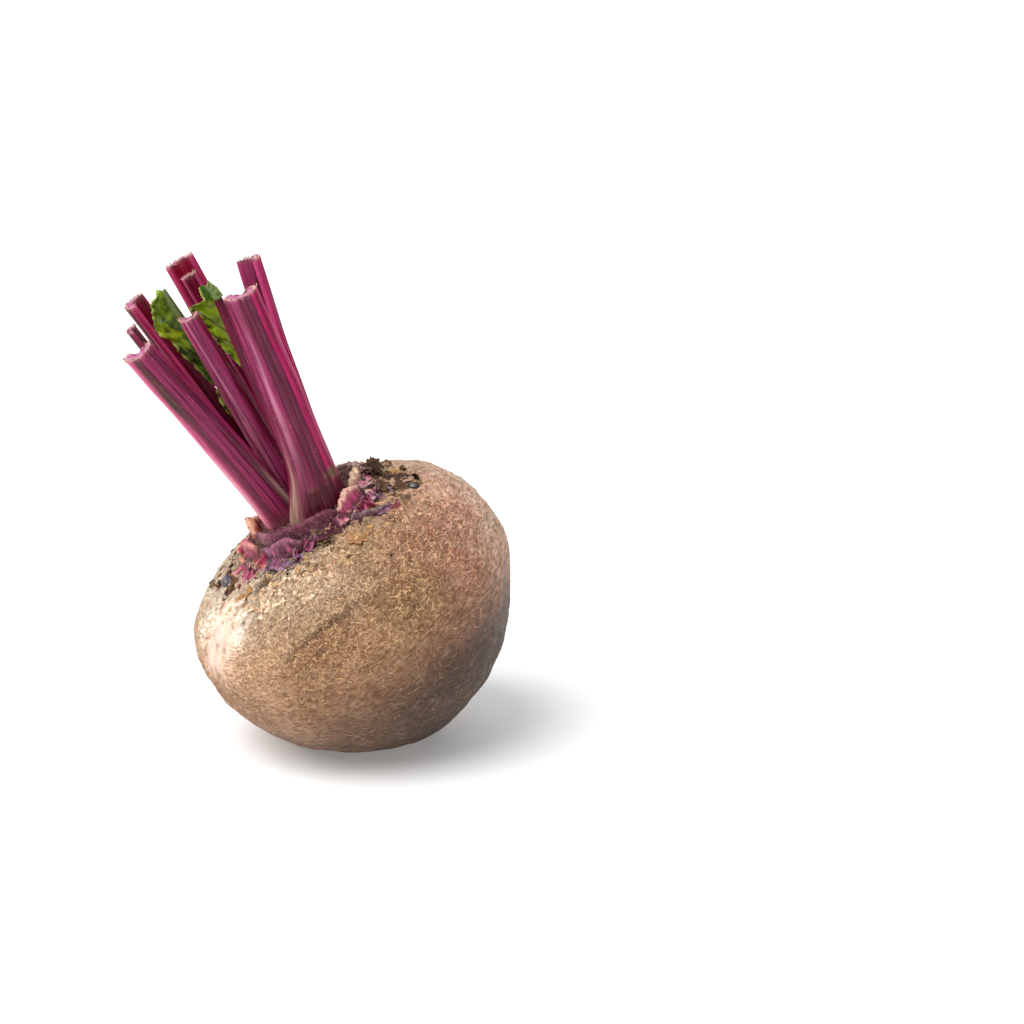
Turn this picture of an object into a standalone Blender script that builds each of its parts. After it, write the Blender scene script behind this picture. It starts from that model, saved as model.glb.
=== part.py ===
"""A whole raw beetroot with trimmed stalks, lying tilted on the small flat spot of its swollen root.

Every piece is modelled in the plant's growth frame: +Z runs from the root up the crown, the origin is
the middle of the root's widest ring, and -Y is the side that faces forward. The empty growth_axis
tilts that frame and sets the flat spot's middle on the world origin, with the ground at Z = 0.
"""

import math

import bmesh
import bpy
from mathutils import Euler, Matrix, Vector, noise
from mathutils.bvhtree import BVHTree

MM = 0.001
GAP = 0.3 * MM  # clearance left between pieces that touch

# The swollen root.
ROOT_RADIUS = 47.5 * MM
SHOULDER_HEIGHT = 30.7 * MM  # from the widest ring to the top, without the raised crown
BELLY_DEPTH = 44.2 * MM  # from the widest ring to the taproot
SHOULDER_POWER = 2.75  # 2 is an ellipse, and more is squarer
BELLY_POWER = 1.67
ROOT_SEGMENTS = 60
ROOT_RINGS = 44
RING_CROWDING = 0.45  # how much closer the rings are at the crown and the taproot than between
LUMP_SIZE = 0.02  # share of the radius
LUMP_PITCH = 1.7
LUMP_SEED = Vector((3.1, 7.7, 1.3))

# The taproot, trimmed short.
TAIL_RISE = 6 * MM
TAIL_FLARE = math.radians(4.8)
TAIL_CUT = 45.4 * MM  # below the widest ring

# The crown: a low mound with a level top that the stalks grow from.
CROWN_CENTRE = Vector((3.5, 1.0)) * MM
CROWN_RISE = 5 * MM
CROWN_INNER = math.radians(24)  # the mound is at its full height inside this angle,
CROWN_OUTER = math.radians(42)  # and gone outside this one
TABLE_HEIGHT = 34 * MM

# How the root lies.
LEAN = math.radians(30.8)  # from upright
HEADING = math.radians(17.3)  # the way it leans, turned forward from -X
ROLL = math.radians(-7.0)  # about its own axis
RING_HEIGHT = 41.5 * MM  # of the widest ring's middle above the ground, which cuts the flat spot
SPOT_OFFSET = Vector((3.0, 0.5)) * MM  # the flat spot's middle from under the widest ring's middle

# Cut leaf stalks, in millimetres: foot x, y; cut end x, y, z; width at the foot and at the cut end;
# the bearing in degrees that the stalk's channel faces, from +X; then the share of its sideways
# travel at which it is pulled halfway up: less than half leaves the crown steeply and spreads later.
STALKS = {
    "stalk_front_left": ((-3.6, 0.6), (-10.8, -11.0, 100.6), 11.0, 9.0, 76, 0.4),
    "stalk_front_right": ((8.8, -8.4), (20.7, -13.0, 99.8), 12.8, 9.6, 92, 0.5),
    "stalk_front_middle": ((1.6, 4.7), (5.1, -4.9, 99.6), 7.9, 5.6, 80, 0.45),
    "stalk_slim_left": ((-6.4, 6.8), (-9.6, -2.0, 104.0), 4.6, 4.0, -20, 0.4),
    "stalk_back_left": ((-0.6, 10.2), (-5.2, 6.4, 108.2), 9.0, 7.8, -28, 0.45),
    "stalk_slim_back": ((7.8, 6.8), (10.0, 12.0, 105.0), 4.8, 4.6, -95, 0.4),
    "stalk_back_middle": ((6.4, 12.8), (9.6, 19.0, 108.5), 9.2, 8.7, -82, 0.4),
    "stalk_back_right": ((11.0, 0.6), (26.2, 5.0, 102.0), 8.4, 7.8, 225, 0.36),
}
STALK_STATIONS = 9
SECTION_STEPS = 10  # points round a stalk's back
STALK_TAPER = 1.6  # above 1 keeps a stalk near its foot's width for longer
STALK_FOOT_DEPTH = 0.46  # half depth of a stalk's back, as a share of its width
STALK_TIP_DEPTH = 0.52

# Young leaves, whose blades were cut through: the same numbers for the slim stalk, then where the
# blade starts along it, how wide the blade is at its narrow and at its broad part, where it
# broadens, and the way it reaches.
LEAVES = {
    "leaf_left": (
        ((2.9, 8.0), (2.9, 1.5, 107.6), 3.4, 2.6, -60, 0.4),
        (0.42, 1.6, 6.6, 0.76, (-1.0, -0.12, 0.0)),
    ),
    "leaf_right": (
        ((4.8, -3.2), (14.6, -1.5, 101.6), 3.4, 3.0, 120, 0.4),
        (0.62, 0.8, 6.4, 0.80, (-1.0, 0.15, 0.0)),
    ),
}
BLADE_THICKNESS = 0.7 * MM
BLADE_DEPTH = 0.32  # below the stalk's channel, as a share of its width
BLADE_ROWS = 14
BLADE_COLUMNS = 5
BLADE_WAVES = 3.0

# Torn bases of older leaves round the crown: bearings in degrees from +X and distances from the
# crown's centre at both ends, then thickness and height in millimetres.
LEAF_BASES = {
    "leaf_base_band": (-176, -70, 15.8, 19.4, 2.8, 2.9),
    "leaf_base_right": (-68, -40, 19.6, 19.4, 2.8, 3.1),
    "leaf_base_far_right": (-35, 2, 16.6, 16.8, 2.4, 3.0),
    "leaf_base_left": (148, 181, 17.0, 17.0, 3.0, 5.0),
    "leaf_base_far_left": (112, 143, 17.6, 17.6, 2.6, 4.2),
    "leaf_base_back": (56, 107, 18.4, 18.6, 2.6, 4.6),
    "leaf_base_back_right": (8, 50, 18.4, 18.2, 2.6, 0.9),
    "leaf_base_low_front": (-146, -106, 19.8, 21.4, 2.6, 2.6),
    "leaf_base_low_left": (166, 204, 21.4, 20.0, 2.8, 3.2),
    "leaf_base_low_right": (-66, -42, 22.6, 28.0, 2.2, 1.4),
    "leaf_base_low_back": (90, 134, 22.8, 22.4, 2.4, 2.6),
}
BASE_STATIONS = 13

# Dried scraps and dead buds on the shoulder: bearing, distance, then length, width and height.
SCRAPS = {
    "dry_scrap_upper": (32, 22.2, 6.0, 3.2, 3.2),
    "dry_scrap_right": (4, 25.0, 6.5, 3.2, 2.6),
    "dry_scrap_back": (62, 24.5, 6.5, 3.2, 2.6),
    "dead_bud_left": (-172, 31.0, 4.6, 3.4, 3.2),
    "dead_bud_right": (-22, 31.0, 3.6, 2.8, 2.0),
}

SCRAP_ROUGHNESS = 0.7

MATERIALS = {
    "root_skin": ((0.58, 0.42, 0.27), 0.72),
    "stalk_skin": ((0.33, 0.05, 0.16), 0.38),
    "leaf_green": ((0.15, 0.26, 0.04), 0.45),
    "leaf_base_skin": ((0.45, 0.12, 0.22), 0.55),
    "dry_husk": ((0.20, 0.13, 0.08), 0.85),
}


def clear_scene():
    """Empties the scene and makes one collection for the pieces and one for the cutters."""
    for obj in list(bpy.data.objects):
        bpy.data.objects.remove(obj)
    pieces = bpy.data.collections.new("beetroot")
    cutters = bpy.data.collections.new("cutters")
    for collection in (pieces, cutters):
        bpy.context.scene.collection.children.link(collection)
    return pieces, cutters


def make_material(name):
    """A plain Principled material of the named tissue."""
    colour, roughness = MATERIALS[name]
    material = bpy.data.materials.new(name)
    material.use_nodes = True
    shader = material.node_tree.nodes["Principled BSDF"]
    shader.inputs["Base Color"].default_value = (*colour, 1.0)
    shader.inputs["Roughness"].default_value = roughness
    shader.inputs["Metallic"].default_value = 0.0
    return material


def add_object(name, shape, collection, material=None, parent=None):
    """Turns a bmesh into a smooth-shaded object."""
    bmesh.ops.recalc_face_normals(shape, faces=shape.faces)
    mesh = bpy.data.meshes.new(name)
    shape.to_mesh(mesh)
    shape.free()
    mesh.shade_smooth()
    mesh.set_sharp_from_angle(angle=math.radians(40))
    if material:
        mesh.materials.append(material)
    obj = bpy.data.objects.new(name, mesh)
    obj.parent = parent
    collection.objects.link(obj)
    return obj


def hide_helper(obj):
    """A cutter or a shape that a Boolean joins isn't a piece of its own."""
    obj.hide_render = True
    obj.display_type = "WIRE"


def add_boolean(obj, operation, other):
    modifier = obj.modifiers.new(operation.lower(), "BOOLEAN")
    modifier.operation = operation
    modifier.object = other
    hide_helper(other)


def smooth_fall(value, inner, outer):
    """1 up to inner, 0 from outer on, and smooth between."""
    share = min(max((value - inner) / (outer - inner), 0.0), 1.0)
    return 1 - share * share * (3 - 2 * share)


def root_point(direction):
    """The root's surface in a direction from the middle of its widest ring."""
    across = math.hypot(direction.x, direction.y)
    height, power = SHOULDER_HEIGHT, SHOULDER_POWER
    if direction.z < 0:
        height, power = BELLY_DEPTH, BELLY_POWER
    share = (across / ROOT_RADIUS) ** power + (abs(direction.z) / height) ** power
    reach = share ** (-1 / power)
    reach *= 1 + LUMP_SIZE * noise.noise(direction * LUMP_PITCH + LUMP_SEED)
    off_tail = math.atan2(across, -direction.z)
    reach += TAIL_RISE * math.exp(-((off_tail / TAIL_FLARE) ** 2))
    off_crown = direction.angle(Vector((*CROWN_CENTRE, TABLE_HEIGHT)))
    reach += CROWN_RISE * smooth_fall(off_crown, CROWN_INNER, CROWN_OUTER)
    point = direction * reach
    point.z = min(max(point.z, -TAIL_CUT), TABLE_HEIGHT)
    return point


def root_shape():
    """A sphere's grid pulled out to the root's surface."""
    shape = bmesh.new()
    bmesh.ops.create_uvsphere(shape, u_segments=ROOT_SEGMENTS, v_segments=ROOT_RINGS, radius=1.0)
    for vert in shape.verts:
        polar = math.acos(max(-1.0, min(1.0, vert.co.z)))
        crowded = polar - RING_CROWDING * math.sin(2 * polar) / 2
        bearing = math.atan2(vert.co.y, vert.co.x)
        ring = math.sin(crowded)
        direction = Vector((ring * math.cos(bearing), ring * math.sin(bearing), math.cos(crowded)))
        vert.co = root_point(direction)
    return shape


def growth_rotation():
    return Matrix.Rotation(HEADING, 4, "Z") @ Matrix.Rotation(-LEAN, 4, "Y") @ Matrix.Rotation(ROLL, 4, "Z")


def add_growth_axis(collection):
    """The empty that every piece hangs on. It sets the flat spot's middle on the world origin."""
    axis = bpy.data.objects.new("growth_axis", None)
    rotation = growth_rotation()
    axis.matrix_world = Matrix.Translation((*-SPOT_OFFSET, RING_HEIGHT)) @ rotation
    collection.objects.link(axis)
    return axis


def add_ground_cutter(collection):
    """A block under the ground that shaves the flat spot off the belly."""
    shape = bmesh.new()
    bmesh.ops.create_cube(shape, size=4 * ROOT_RADIUS)
    bmesh.ops.translate(shape, verts=shape.verts, vec=(0, 0, -2 * ROOT_RADIUS))
    return add_object("ground_cutter", shape, collection)


def bezier(start, middle, end, share):
    """A point on a quadratic curve and the direction there."""
    point = start.lerp(middle, share).lerp(middle.lerp(end, share), share)
    slope = (middle - start).lerp(end - middle, share)
    return point, slope.normalized()


def stalk_section(width, depth):
    """A leaf stalk's outline: a round back, two rims and the channel between them.

    Each point is (across, inward), where inward faces the plant's middle."""
    half = width / 2
    back = [math.pi * step / SECTION_STEPS for step in range(SECTION_STEPS + 1)]
    outline = [(half * math.cos(turn), -depth * width * math.sin(turn)) for turn in back]
    rims = [(-0.72, 0.10), (-0.38, -0.04), (0.0, -0.13), (0.38, -0.04), (0.72, 0.10)]
    return outline + [(across * half, inward * width) for across, inward in rims]


def loft(shape, rings):
    """Joins rings of points with quads and closes both ends."""
    rows = [[shape.verts.new(point) for point in ring] for ring in rings]
    for low, high in zip(rows, rows[1:]):
        for i in range(len(low)):
            j = (i + 1) % len(low)
            shape.faces.new((low[i], low[j], high[j], high[i]))
    shape.faces.new(reversed(rows[0]))
    shape.faces.new(rows[-1])


def stalk_curve(foot, end, spread):
    """The middle line of a stalk, from the crown to its cut end."""
    start = Vector((*(Vector(foot) * MM), TABLE_HEIGHT + GAP))
    stop = Vector(end) * MM
    middle = start.lerp(stop, 0.5)
    middle.xy = start.xy.lerp(stop.xy, spread)
    return start, middle, stop


def stalk_frame(slope, bearing):
    """Across and inward directions at a point of a stalk whose channel faces the bearing."""
    turn = math.radians(bearing)
    inward = Vector((math.cos(turn), math.sin(turn), 0.0))
    inward -= slope * inward.dot(slope)
    inward.normalize()
    return slope.cross(inward), inward


def stalk_rings(foot, end, foot_width, tip_width, bearing, spread):
    """Rings of a stalk from the crown to its cut end. The first lies flat on the crown's level top."""
    start, middle, stop = stalk_curve(foot, end, spread)
    rings = []
    for station in range(STALK_STATIONS):
        share = station / (STALK_STATIONS - 1)
        point, slope = bezier(start, middle, stop, share)
        across, inward = stalk_frame(slope, bearing)
        width = (foot_width + (tip_width - foot_width) * share**STALK_TAPER) * MM
        depth = STALK_FOOT_DEPTH + (STALK_TIP_DEPTH - STALK_FOOT_DEPTH) * share
        ring = [point + across * p + inward * q for p, q in stalk_section(width, depth)]
        if station == 0:
            ring = [p + slope * ((start.z - p.z) / slope.z) for p in ring]
        rings.append(ring)
    return rings


def add_stalks(collection, material, parent):
    for name, numbers in STALKS.items():
        shape = bmesh.new()
        loft(shape, stalk_rings(*numbers))
        add_object(name, shape, collection, material, parent)


def blade_shape(stalk, begin, narrow, broad, knee, way):
    """A leaf's blade: a grid that starts in the flesh of the stalk and swings out to a wavy margin."""
    foot, end, _, width, bearing, bend = stalk
    start, middle, stop = stalk_curve(foot, end, bend)
    out = Vector(way).normalized()
    shape = bmesh.new()
    bmesh.ops.create_grid(shape, x_segments=BLADE_ROWS, y_segments=BLADE_COLUMNS, size=0.5)
    for vert in shape.verts:
        along, side = vert.co.x + 0.5, vert.co.y + 0.5
        share = begin + (0.98 - begin) * along
        point, slope = bezier(start, middle, stop, share)
        _, inward = stalk_frame(slope, bearing)
        point -= inward * BLADE_DEPTH * width * MM
        reach = (broad + (narrow - broad) * smooth_fall(share, knee - 0.12, knee + 0.12)) * MM
        ripple = math.sin(2 * math.pi * BLADE_WAVES * along) * side * 0.12 * reach
        vert.co = point + out * reach * side + slope.cross(out) * ripple
    return shape


def add_leaves(pieces, cutters, material, parent):
    """Each leaf is one piece: its slim stalk joined with what the knife left of its blade."""
    for name, (stalk, blade_numbers) in LEAVES.items():
        shape = bmesh.new()
        loft(shape, stalk_rings(*stalk))
        leaf = add_object(name, shape, pieces, material, parent)
        blade_grid = blade_shape(stalk, *blade_numbers)
        blade = add_object(name + "_blade", blade_grid, cutters, material, parent)
        skin = blade.modifiers.new("thickness", "SOLIDIFY")
        skin.thickness = BLADE_THICKNESS
        skin.offset = 0.0
        add_boolean(leaf, "UNION", blade)


def seat_height(skin, x, y):
    """Height of the root's surface under a point of the growth frame."""
    hit, _, _, _ = skin.ray_cast(Vector((x, y, 2 * ROOT_RADIUS)), Vector((0, 0, -1)))
    return hit.z


def around_crown(bearing, distance):
    """A place on the crown, from its bearing in radians and its distance from the crown's centre."""
    return CROWN_CENTRE + distance * Vector((math.cos(bearing), math.sin(bearing)))


def base_section(skin, turn, distance, half, top):
    """A torn base's outline across its wall, from the foot inside the crown round to the torn rim."""
    inner, middle, outer = (around_crown(turn, (distance + side * half) * MM) for side in (-1, 0, 1))
    feet = [seat_height(skin, *place) + 2 * GAP for place in (inner, middle, outer)]
    crest = max(feet) + top * MM
    return [
        Vector((*inner, feet[0])),
        Vector((*middle, feet[1])),
        Vector((*outer, feet[2])),
        Vector((*outer, feet[2] + 0.6 * top * MM)),
        Vector((*inner.lerp(outer, 0.85), crest - 0.15 * top * MM)),
        Vector((*inner.lerp(outer, 0.3), crest)),
        Vector((*inner, feet[0] + 0.6 * top * MM)),
    ]


def base_rings(skin, begin, end, near, far, thickness, height):
    """Rings along a torn leaf base: a low wall that follows the crown and thins out at both ends."""
    rings = []
    for station in range(BASE_STATIONS):
        share = station / (BASE_STATIONS - 1)
        swell = math.sqrt(1 - (0.96 * (2 * share - 1)) ** 2)
        half = thickness * (0.35 + 0.65 * swell) / 2
        top = height * (0.3 + 0.7 * swell)
        turn = math.radians(begin + (end - begin) * share)
        rings.append(base_section(skin, turn, near + (far - near) * share, half, top))
    return rings


def add_leaf_bases(skin, collection, material, parent):
    for name, numbers in LEAF_BASES.items():
        shape = bmesh.new()
        loft(shape, base_rings(skin, *numbers))
        add_object(name, shape, collection, material, parent)


def add_scraps(skin, collection, material, parent):
    """Small dried lumps, each resting on the root's skin."""
    for name, (bearing, distance, length, width, height) in SCRAPS.items():
        turn = math.radians(bearing)
        place = around_crown(turn, distance * MM)
        shape = bmesh.new()
        bmesh.ops.create_icosphere(shape, subdivisions=2, radius=0.5)
        for vert in shape.verts:
            vert.co *= 1 + SCRAP_ROUGHNESS * noise.noise(vert.co * 4 + Vector((bearing, distance, 0)))
        bmesh.ops.scale(shape, verts=shape.verts, vec=(width * MM, length * MM, height * MM))
        bmesh.ops.rotate(shape, verts=shape.verts, matrix=Euler((0, 0, turn)).to_matrix())
        for vert in shape.verts:
            x, y = place + vert.co.xy
            floor = seat_height(skin, x, y) + 2 * GAP
            vert.co = Vector((x, y, floor + max(vert.co.z + 0.3 * height * MM, 0.0)))
        bmesh.ops.dissolve_degenerate(shape, edges=shape.edges, dist=0.01 * MM)
        add_object(name, shape, collection, material, parent)


def main():
    pieces, cutters = clear_scene()
    materials = {name: make_material(name) for name in MATERIALS}

    shape = root_shape()
    skin = BVHTree.FromBMesh(shape)
    axis = add_growth_axis(pieces)
    root = add_object("root", shape, pieces, materials["root_skin"], axis)
    add_boolean(root, "DIFFERENCE", add_ground_cutter(cutters))

    add_stalks(pieces, materials["stalk_skin"], axis)
    add_leaves(pieces, cutters, materials["leaf_green"], axis)
    add_leaf_bases(skin, pieces, materials["leaf_base_skin"], axis)
    add_scraps(skin, pieces, materials["dry_husk"], axis)


main()
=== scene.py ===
"""How the beetroot looks: felted skin, ribbed cut stalks, torn leaf bases, dry husks and young leaves.

Every piece is modelled in the plant's growth frame, as in the CAD: +Z runs from the root up the crown,
the origin is the middle of the root's widest ring, and -Y is the side that faces forward. Bearings are
in degrees from +X, and a place on the skin is (bearing, angle from +Z). Colours are given as sRGB.
"""

import math
from types import SimpleNamespace

import bmesh
import bpy
import numpy as np
from mathutils import Matrix, Vector, noise
from mathutils.bvhtree import BVHTree


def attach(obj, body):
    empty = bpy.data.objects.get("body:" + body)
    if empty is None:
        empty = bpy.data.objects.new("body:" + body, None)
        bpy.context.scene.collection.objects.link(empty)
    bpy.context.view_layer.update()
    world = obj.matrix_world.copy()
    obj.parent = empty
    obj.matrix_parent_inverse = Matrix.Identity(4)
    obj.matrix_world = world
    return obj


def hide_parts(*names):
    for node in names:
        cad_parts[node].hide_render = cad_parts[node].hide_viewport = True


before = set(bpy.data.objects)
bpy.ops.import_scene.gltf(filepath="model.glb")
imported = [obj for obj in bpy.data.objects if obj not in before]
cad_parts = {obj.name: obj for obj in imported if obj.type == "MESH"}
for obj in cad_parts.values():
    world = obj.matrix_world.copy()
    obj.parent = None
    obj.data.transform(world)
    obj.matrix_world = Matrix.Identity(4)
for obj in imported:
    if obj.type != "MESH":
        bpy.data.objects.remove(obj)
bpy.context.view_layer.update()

MM = 0.001

# The same numbers as the CAD.
GROWTH = (
    Matrix.Translation((-0.003, -0.0005, 0.0415))
    @ Matrix.Rotation(math.radians(17.3), 4, "Z")
    @ Matrix.Rotation(math.radians(-30.8), 4, "Y")
    @ Matrix.Rotation(math.radians(-7.0), 4, "Z")
)
ROOT_RADIUS = 47.5 * MM
SHOULDER_HEIGHT = 30.7 * MM
BELLY_DEPTH = 44.2 * MM
SHOULDER_POWER = 2.75
BELLY_POWER = 1.67
LUMP_SIZE = 0.02
LUMP_PITCH = 1.7
LUMP_SEED = Vector((3.1, 7.7, 1.3))
TAIL_RISE = 6 * MM
TAIL_FLARE = math.radians(4.8)
TAIL_CUT = 45.4 * MM
CROWN_CENTRE = np.array((3.5, 1.0)) * MM
CROWN_RISE = 5 * MM
CROWN_INNER = math.radians(24)
CROWN_OUTER = math.radians(42)
TABLE_HEIGHT = 34 * MM

# Cut stalks: foot x, y; cut end x, y, z; width at foot and end; bearing of the channel; bend.
STALKS = {
    "stalk_front_left": ((-3.6, 0.6), (-10.8, -11.0, 100.6), 11.0, 9.0, 76, 0.4),
    "stalk_front_right": ((8.8, -8.4), (20.7, -13.0, 99.8), 12.8, 9.6, 92, 0.5),
    "stalk_front_middle": ((1.6, 4.7), (5.1, -4.9, 99.6), 7.9, 5.6, 80, 0.45),
    "stalk_slim_left": ((-6.4, 6.8), (-9.6, -2.0, 104.0), 4.6, 4.0, -20, 0.4),
    "stalk_back_left": ((-0.6, 10.2), (-5.2, 6.4, 108.2), 9.0, 7.8, -28, 0.45),
    "stalk_slim_back": ((7.8, 6.8), (10.0, 12.0, 105.0), 4.8, 4.6, -95, 0.4),
    "stalk_back_middle": ((6.4, 12.8), (9.6, 19.0, 108.5), 9.2, 8.7, -82, 0.4),
    "stalk_back_right": ((11.0, 0.6), (26.2, 5.0, 102.0), 8.4, 7.8, 225, 0.36),
}
STALK_TAPER = 1.6
FOOT_DEPTH = 0.46
TIP_DEPTH = 0.52

# Young leaves: the slim stalk's numbers.
LEAVES = {
    "leaf_left": ((2.9, 8.0), (2.9, 1.5, 107.6), 3.4, 2.6, -60, 0.4),
    "leaf_right": ((4.8, -3.2), (14.6, -1.5, 101.6), 3.4, 3.0, 120, 0.4),
}

# Torn leaf bases: bearings and distances from the crown's centre at both ends, thickness, height.
LEAF_BASES = {
    "leaf_base_band": (-176, -70, 15.8, 19.4, 2.8, 2.9),
    "leaf_base_right": (-68, -40, 19.6, 19.4, 2.8, 3.1),
    "leaf_base_far_right": (-35, 2, 16.6, 16.8, 2.4, 3.0),
    "leaf_base_left": (148, 181, 17.0, 17.0, 3.0, 5.0),
    "leaf_base_far_left": (112, 143, 17.6, 17.6, 2.6, 4.2),
    "leaf_base_back": (56, 107, 18.4, 18.6, 2.6, 4.6),
    "leaf_base_back_right": (8, 50, 18.4, 18.2, 2.6, 0.9),
    "leaf_base_low_front": (-146, -106, 19.8, 21.4, 2.6, 2.6),
    "leaf_base_low_left": (166, 204, 21.4, 20.0, 2.8, 3.2),
    "leaf_base_low_right": (-66, -42, 22.6, 28.0, 2.2, 1.4),
    "leaf_base_low_back": (90, 134, 22.8, 22.4, 2.4, 2.6),
}

# Dry scraps and dead buds: bearing and distance from the crown's centre, length, width, height.
SCRAPS = {
    "dry_scrap_upper": (32, 22.2, 6.0, 3.2, 3.2),
    "dry_scrap_right": (4, 25.0, 6.5, 3.2, 2.6),
    "dry_scrap_back": (62, 24.5, 6.5, 3.2, 2.6),
}
BUDS = {
    "dead_bud_left": (-172, 31.0, 4.6, 3.4, 3.2),
    "dead_bud_right": (-22, 31.0, 3.6, 2.8, 2.0),
}


# ---------------------------------------------------------------- small tools


def paint(red, green, blue):
    """The linear colour of an sRGB one, 0 to 255."""
    return np.array([(channel / 255) ** 2.2 for channel in (red, green, blue)])


def mix(low, high, share):
    """Blends two colours by a share, each of them one value or one per point."""
    share = np.clip(np.atleast_1d(share), 0, 1)[:, None]
    return low * (1 - share) + high * share


def tint(tone, *layers):
    """Lays colours over a tone in turn. A layer is red, green, blue and its share."""
    for red, green, blue, share in layers:
        tone = mix(tone, paint(red, green, blue), share)
    return tone


def bump(value, centre, width):
    """1 at the centre, falling to about a third one width away on both sides."""
    return np.exp(-(((value - centre) / width) ** 2))


def wobble(*place):
    """Smooth noise at one place given by its three coordinates."""
    return noise.noise(Vector(place))


def smooth_fall(value, inner, outer):
    """1 up to inner, 0 from outer on, and smooth between."""
    share = np.clip((value - inner) / (outer - inner), 0, 1)
    return 1 - share * share * (3 - 2 * share)


def noise_at(points, pitch, seed, octaves=1):
    """Smooth noise at each point, about -1 to 1, in bumps about as wide as the pitch."""
    shift = Vector((seed * 7.3, seed * 3.1, seed * 5.7))
    total = np.zeros(len(points))
    for octave in range(octaves):
        scaled = np.asarray(points, float) * (2**octave / pitch)
        total += np.array([noise.noise(Vector(p) + shift) for p in scaled.tolist()]) / 2**octave
    return 1.5 * total


def smooth_through(knots, count):
    """Points along a Catmull-Rom curve through the knots."""
    knots = np.asarray(knots, float)
    padded = np.vstack([2 * knots[0] - knots[1], knots, 2 * knots[-1] - knots[-2]])
    places = np.linspace(0, len(knots) - 1, count)
    first = np.minimum(places.astype(int), len(knots) - 2)
    t = (places - first)[:, None]
    a, b, c, d = (padded[first + step] for step in range(4))
    return 0.5 * (2 * b + (c - a) * t + (2 * a - 5 * b + 4 * c - d) * t**2 + (3 * b - a - 3 * c + d) * t**3)


class Shell:
    """Points, faces, colours and wear of one piece, gathered part by part."""

    def __init__(self):
        self.points, self.places, self.tones, self.wear, self.faces, self.slots = [], [], [], [], [], []
        self.count = 0

    def add(self, points, faces, tone, wear=0.0, slot=0, places=None):
        """places are the coordinates that the patterns follow, which are the points unless given."""
        points = np.asarray(points, float).reshape(-1, 3)
        self.points.append(points)
        self.places.append(points if places is None else np.asarray(places, float).reshape(-1, 3))
        self.tones.append(np.broadcast_to(tone, (len(points), 3)))
        self.wear.append(np.broadcast_to(wear, (len(points),)))
        self.faces += [tuple(index + self.count for index in face) for face in faces]
        self.slots += [slot] * len(faces)
        self.count += len(points)

    def build(self, name, materials, slot, node=None, tidy_normals=True):
        """Makes the piece, which rides on the root and may stand for a CAD node.

        tone is a point's colour, wear how felted, woolly or torn it is."""
        mesh = bpy.data.meshes.new(name)
        mesh.from_pydata(np.vstack(self.points), [], self.faces)
        mesh.transform(GROWTH)
        tones = np.clip(np.vstack(self.tones), 0, 1)
        marks = {
            "place": ("FLOAT_VECTOR", "vector", np.vstack(self.places)),
            "tone": ("FLOAT_COLOR", "color", np.hstack([tones, np.ones((len(tones), 1))])),
            "wear": ("FLOAT", "value", np.concatenate(self.wear)),
        }
        for mark, (kind, field, values) in marks.items():
            data = mesh.attributes.new(mark, kind, "POINT").data
            data.foreach_set(field, values.astype(np.float32).ravel())
        for material in materials:
            mesh.materials.append(material)
        mesh.polygons.foreach_set("material_index", self.slots)
        if tidy_normals:
            shape = bmesh.new()
            shape.from_mesh(mesh)
            bmesh.ops.recalc_face_normals(shape, faces=shape.faces)
            shape.to_mesh(mesh)
            shape.free()
        mesh.shade_smooth()
        piece = put(name, mesh)
        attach(piece, "root")
        if node:
            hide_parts(node)
        return piece


def ring_faces(rows, columns, closed=True):
    """Quads between rings of points, each ring one row."""
    faces = []
    for start in range(0, (rows - 1) * columns, columns):
        for i in range(columns if closed else columns - 1):
            j = (i + 1) % columns
            faces.append((start + i, start + j, start + columns + j, start + columns + i))
    return faces


def slab(grid, thickness):
    """A closed thin sheet from a grid of points, rows by columns by 3."""
    rows, columns, _ = grid.shape
    along = np.gradient(grid, axis=0)
    across = np.gradient(grid, axis=1)
    normal = np.cross(along, across)
    normal /= np.maximum(np.linalg.norm(normal, axis=2, keepdims=True), 1e-12)
    layers = [grid + normal * thickness / 2, grid - normal * thickness / 2]
    points = np.vstack([layer.reshape(-1, 3) for layer in layers])
    top = ring_faces(rows, columns, closed=False)
    size = rows * columns
    faces = top + [tuple(size + index for index in reversed(face)) for face in top]
    edge = list(range(columns))
    edge += [row * columns + columns - 1 for row in range(1, rows)]
    edge += [(rows - 1) * columns + i for i in range(columns - 2, -1, -1)]
    edge += [row * columns for row in range(rows - 2, 0, -1)]
    for a, b in zip(edge, edge[1:] + edge[:1]):
        faces.append((b, a, a + size, b + size))
    return points, faces


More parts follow.
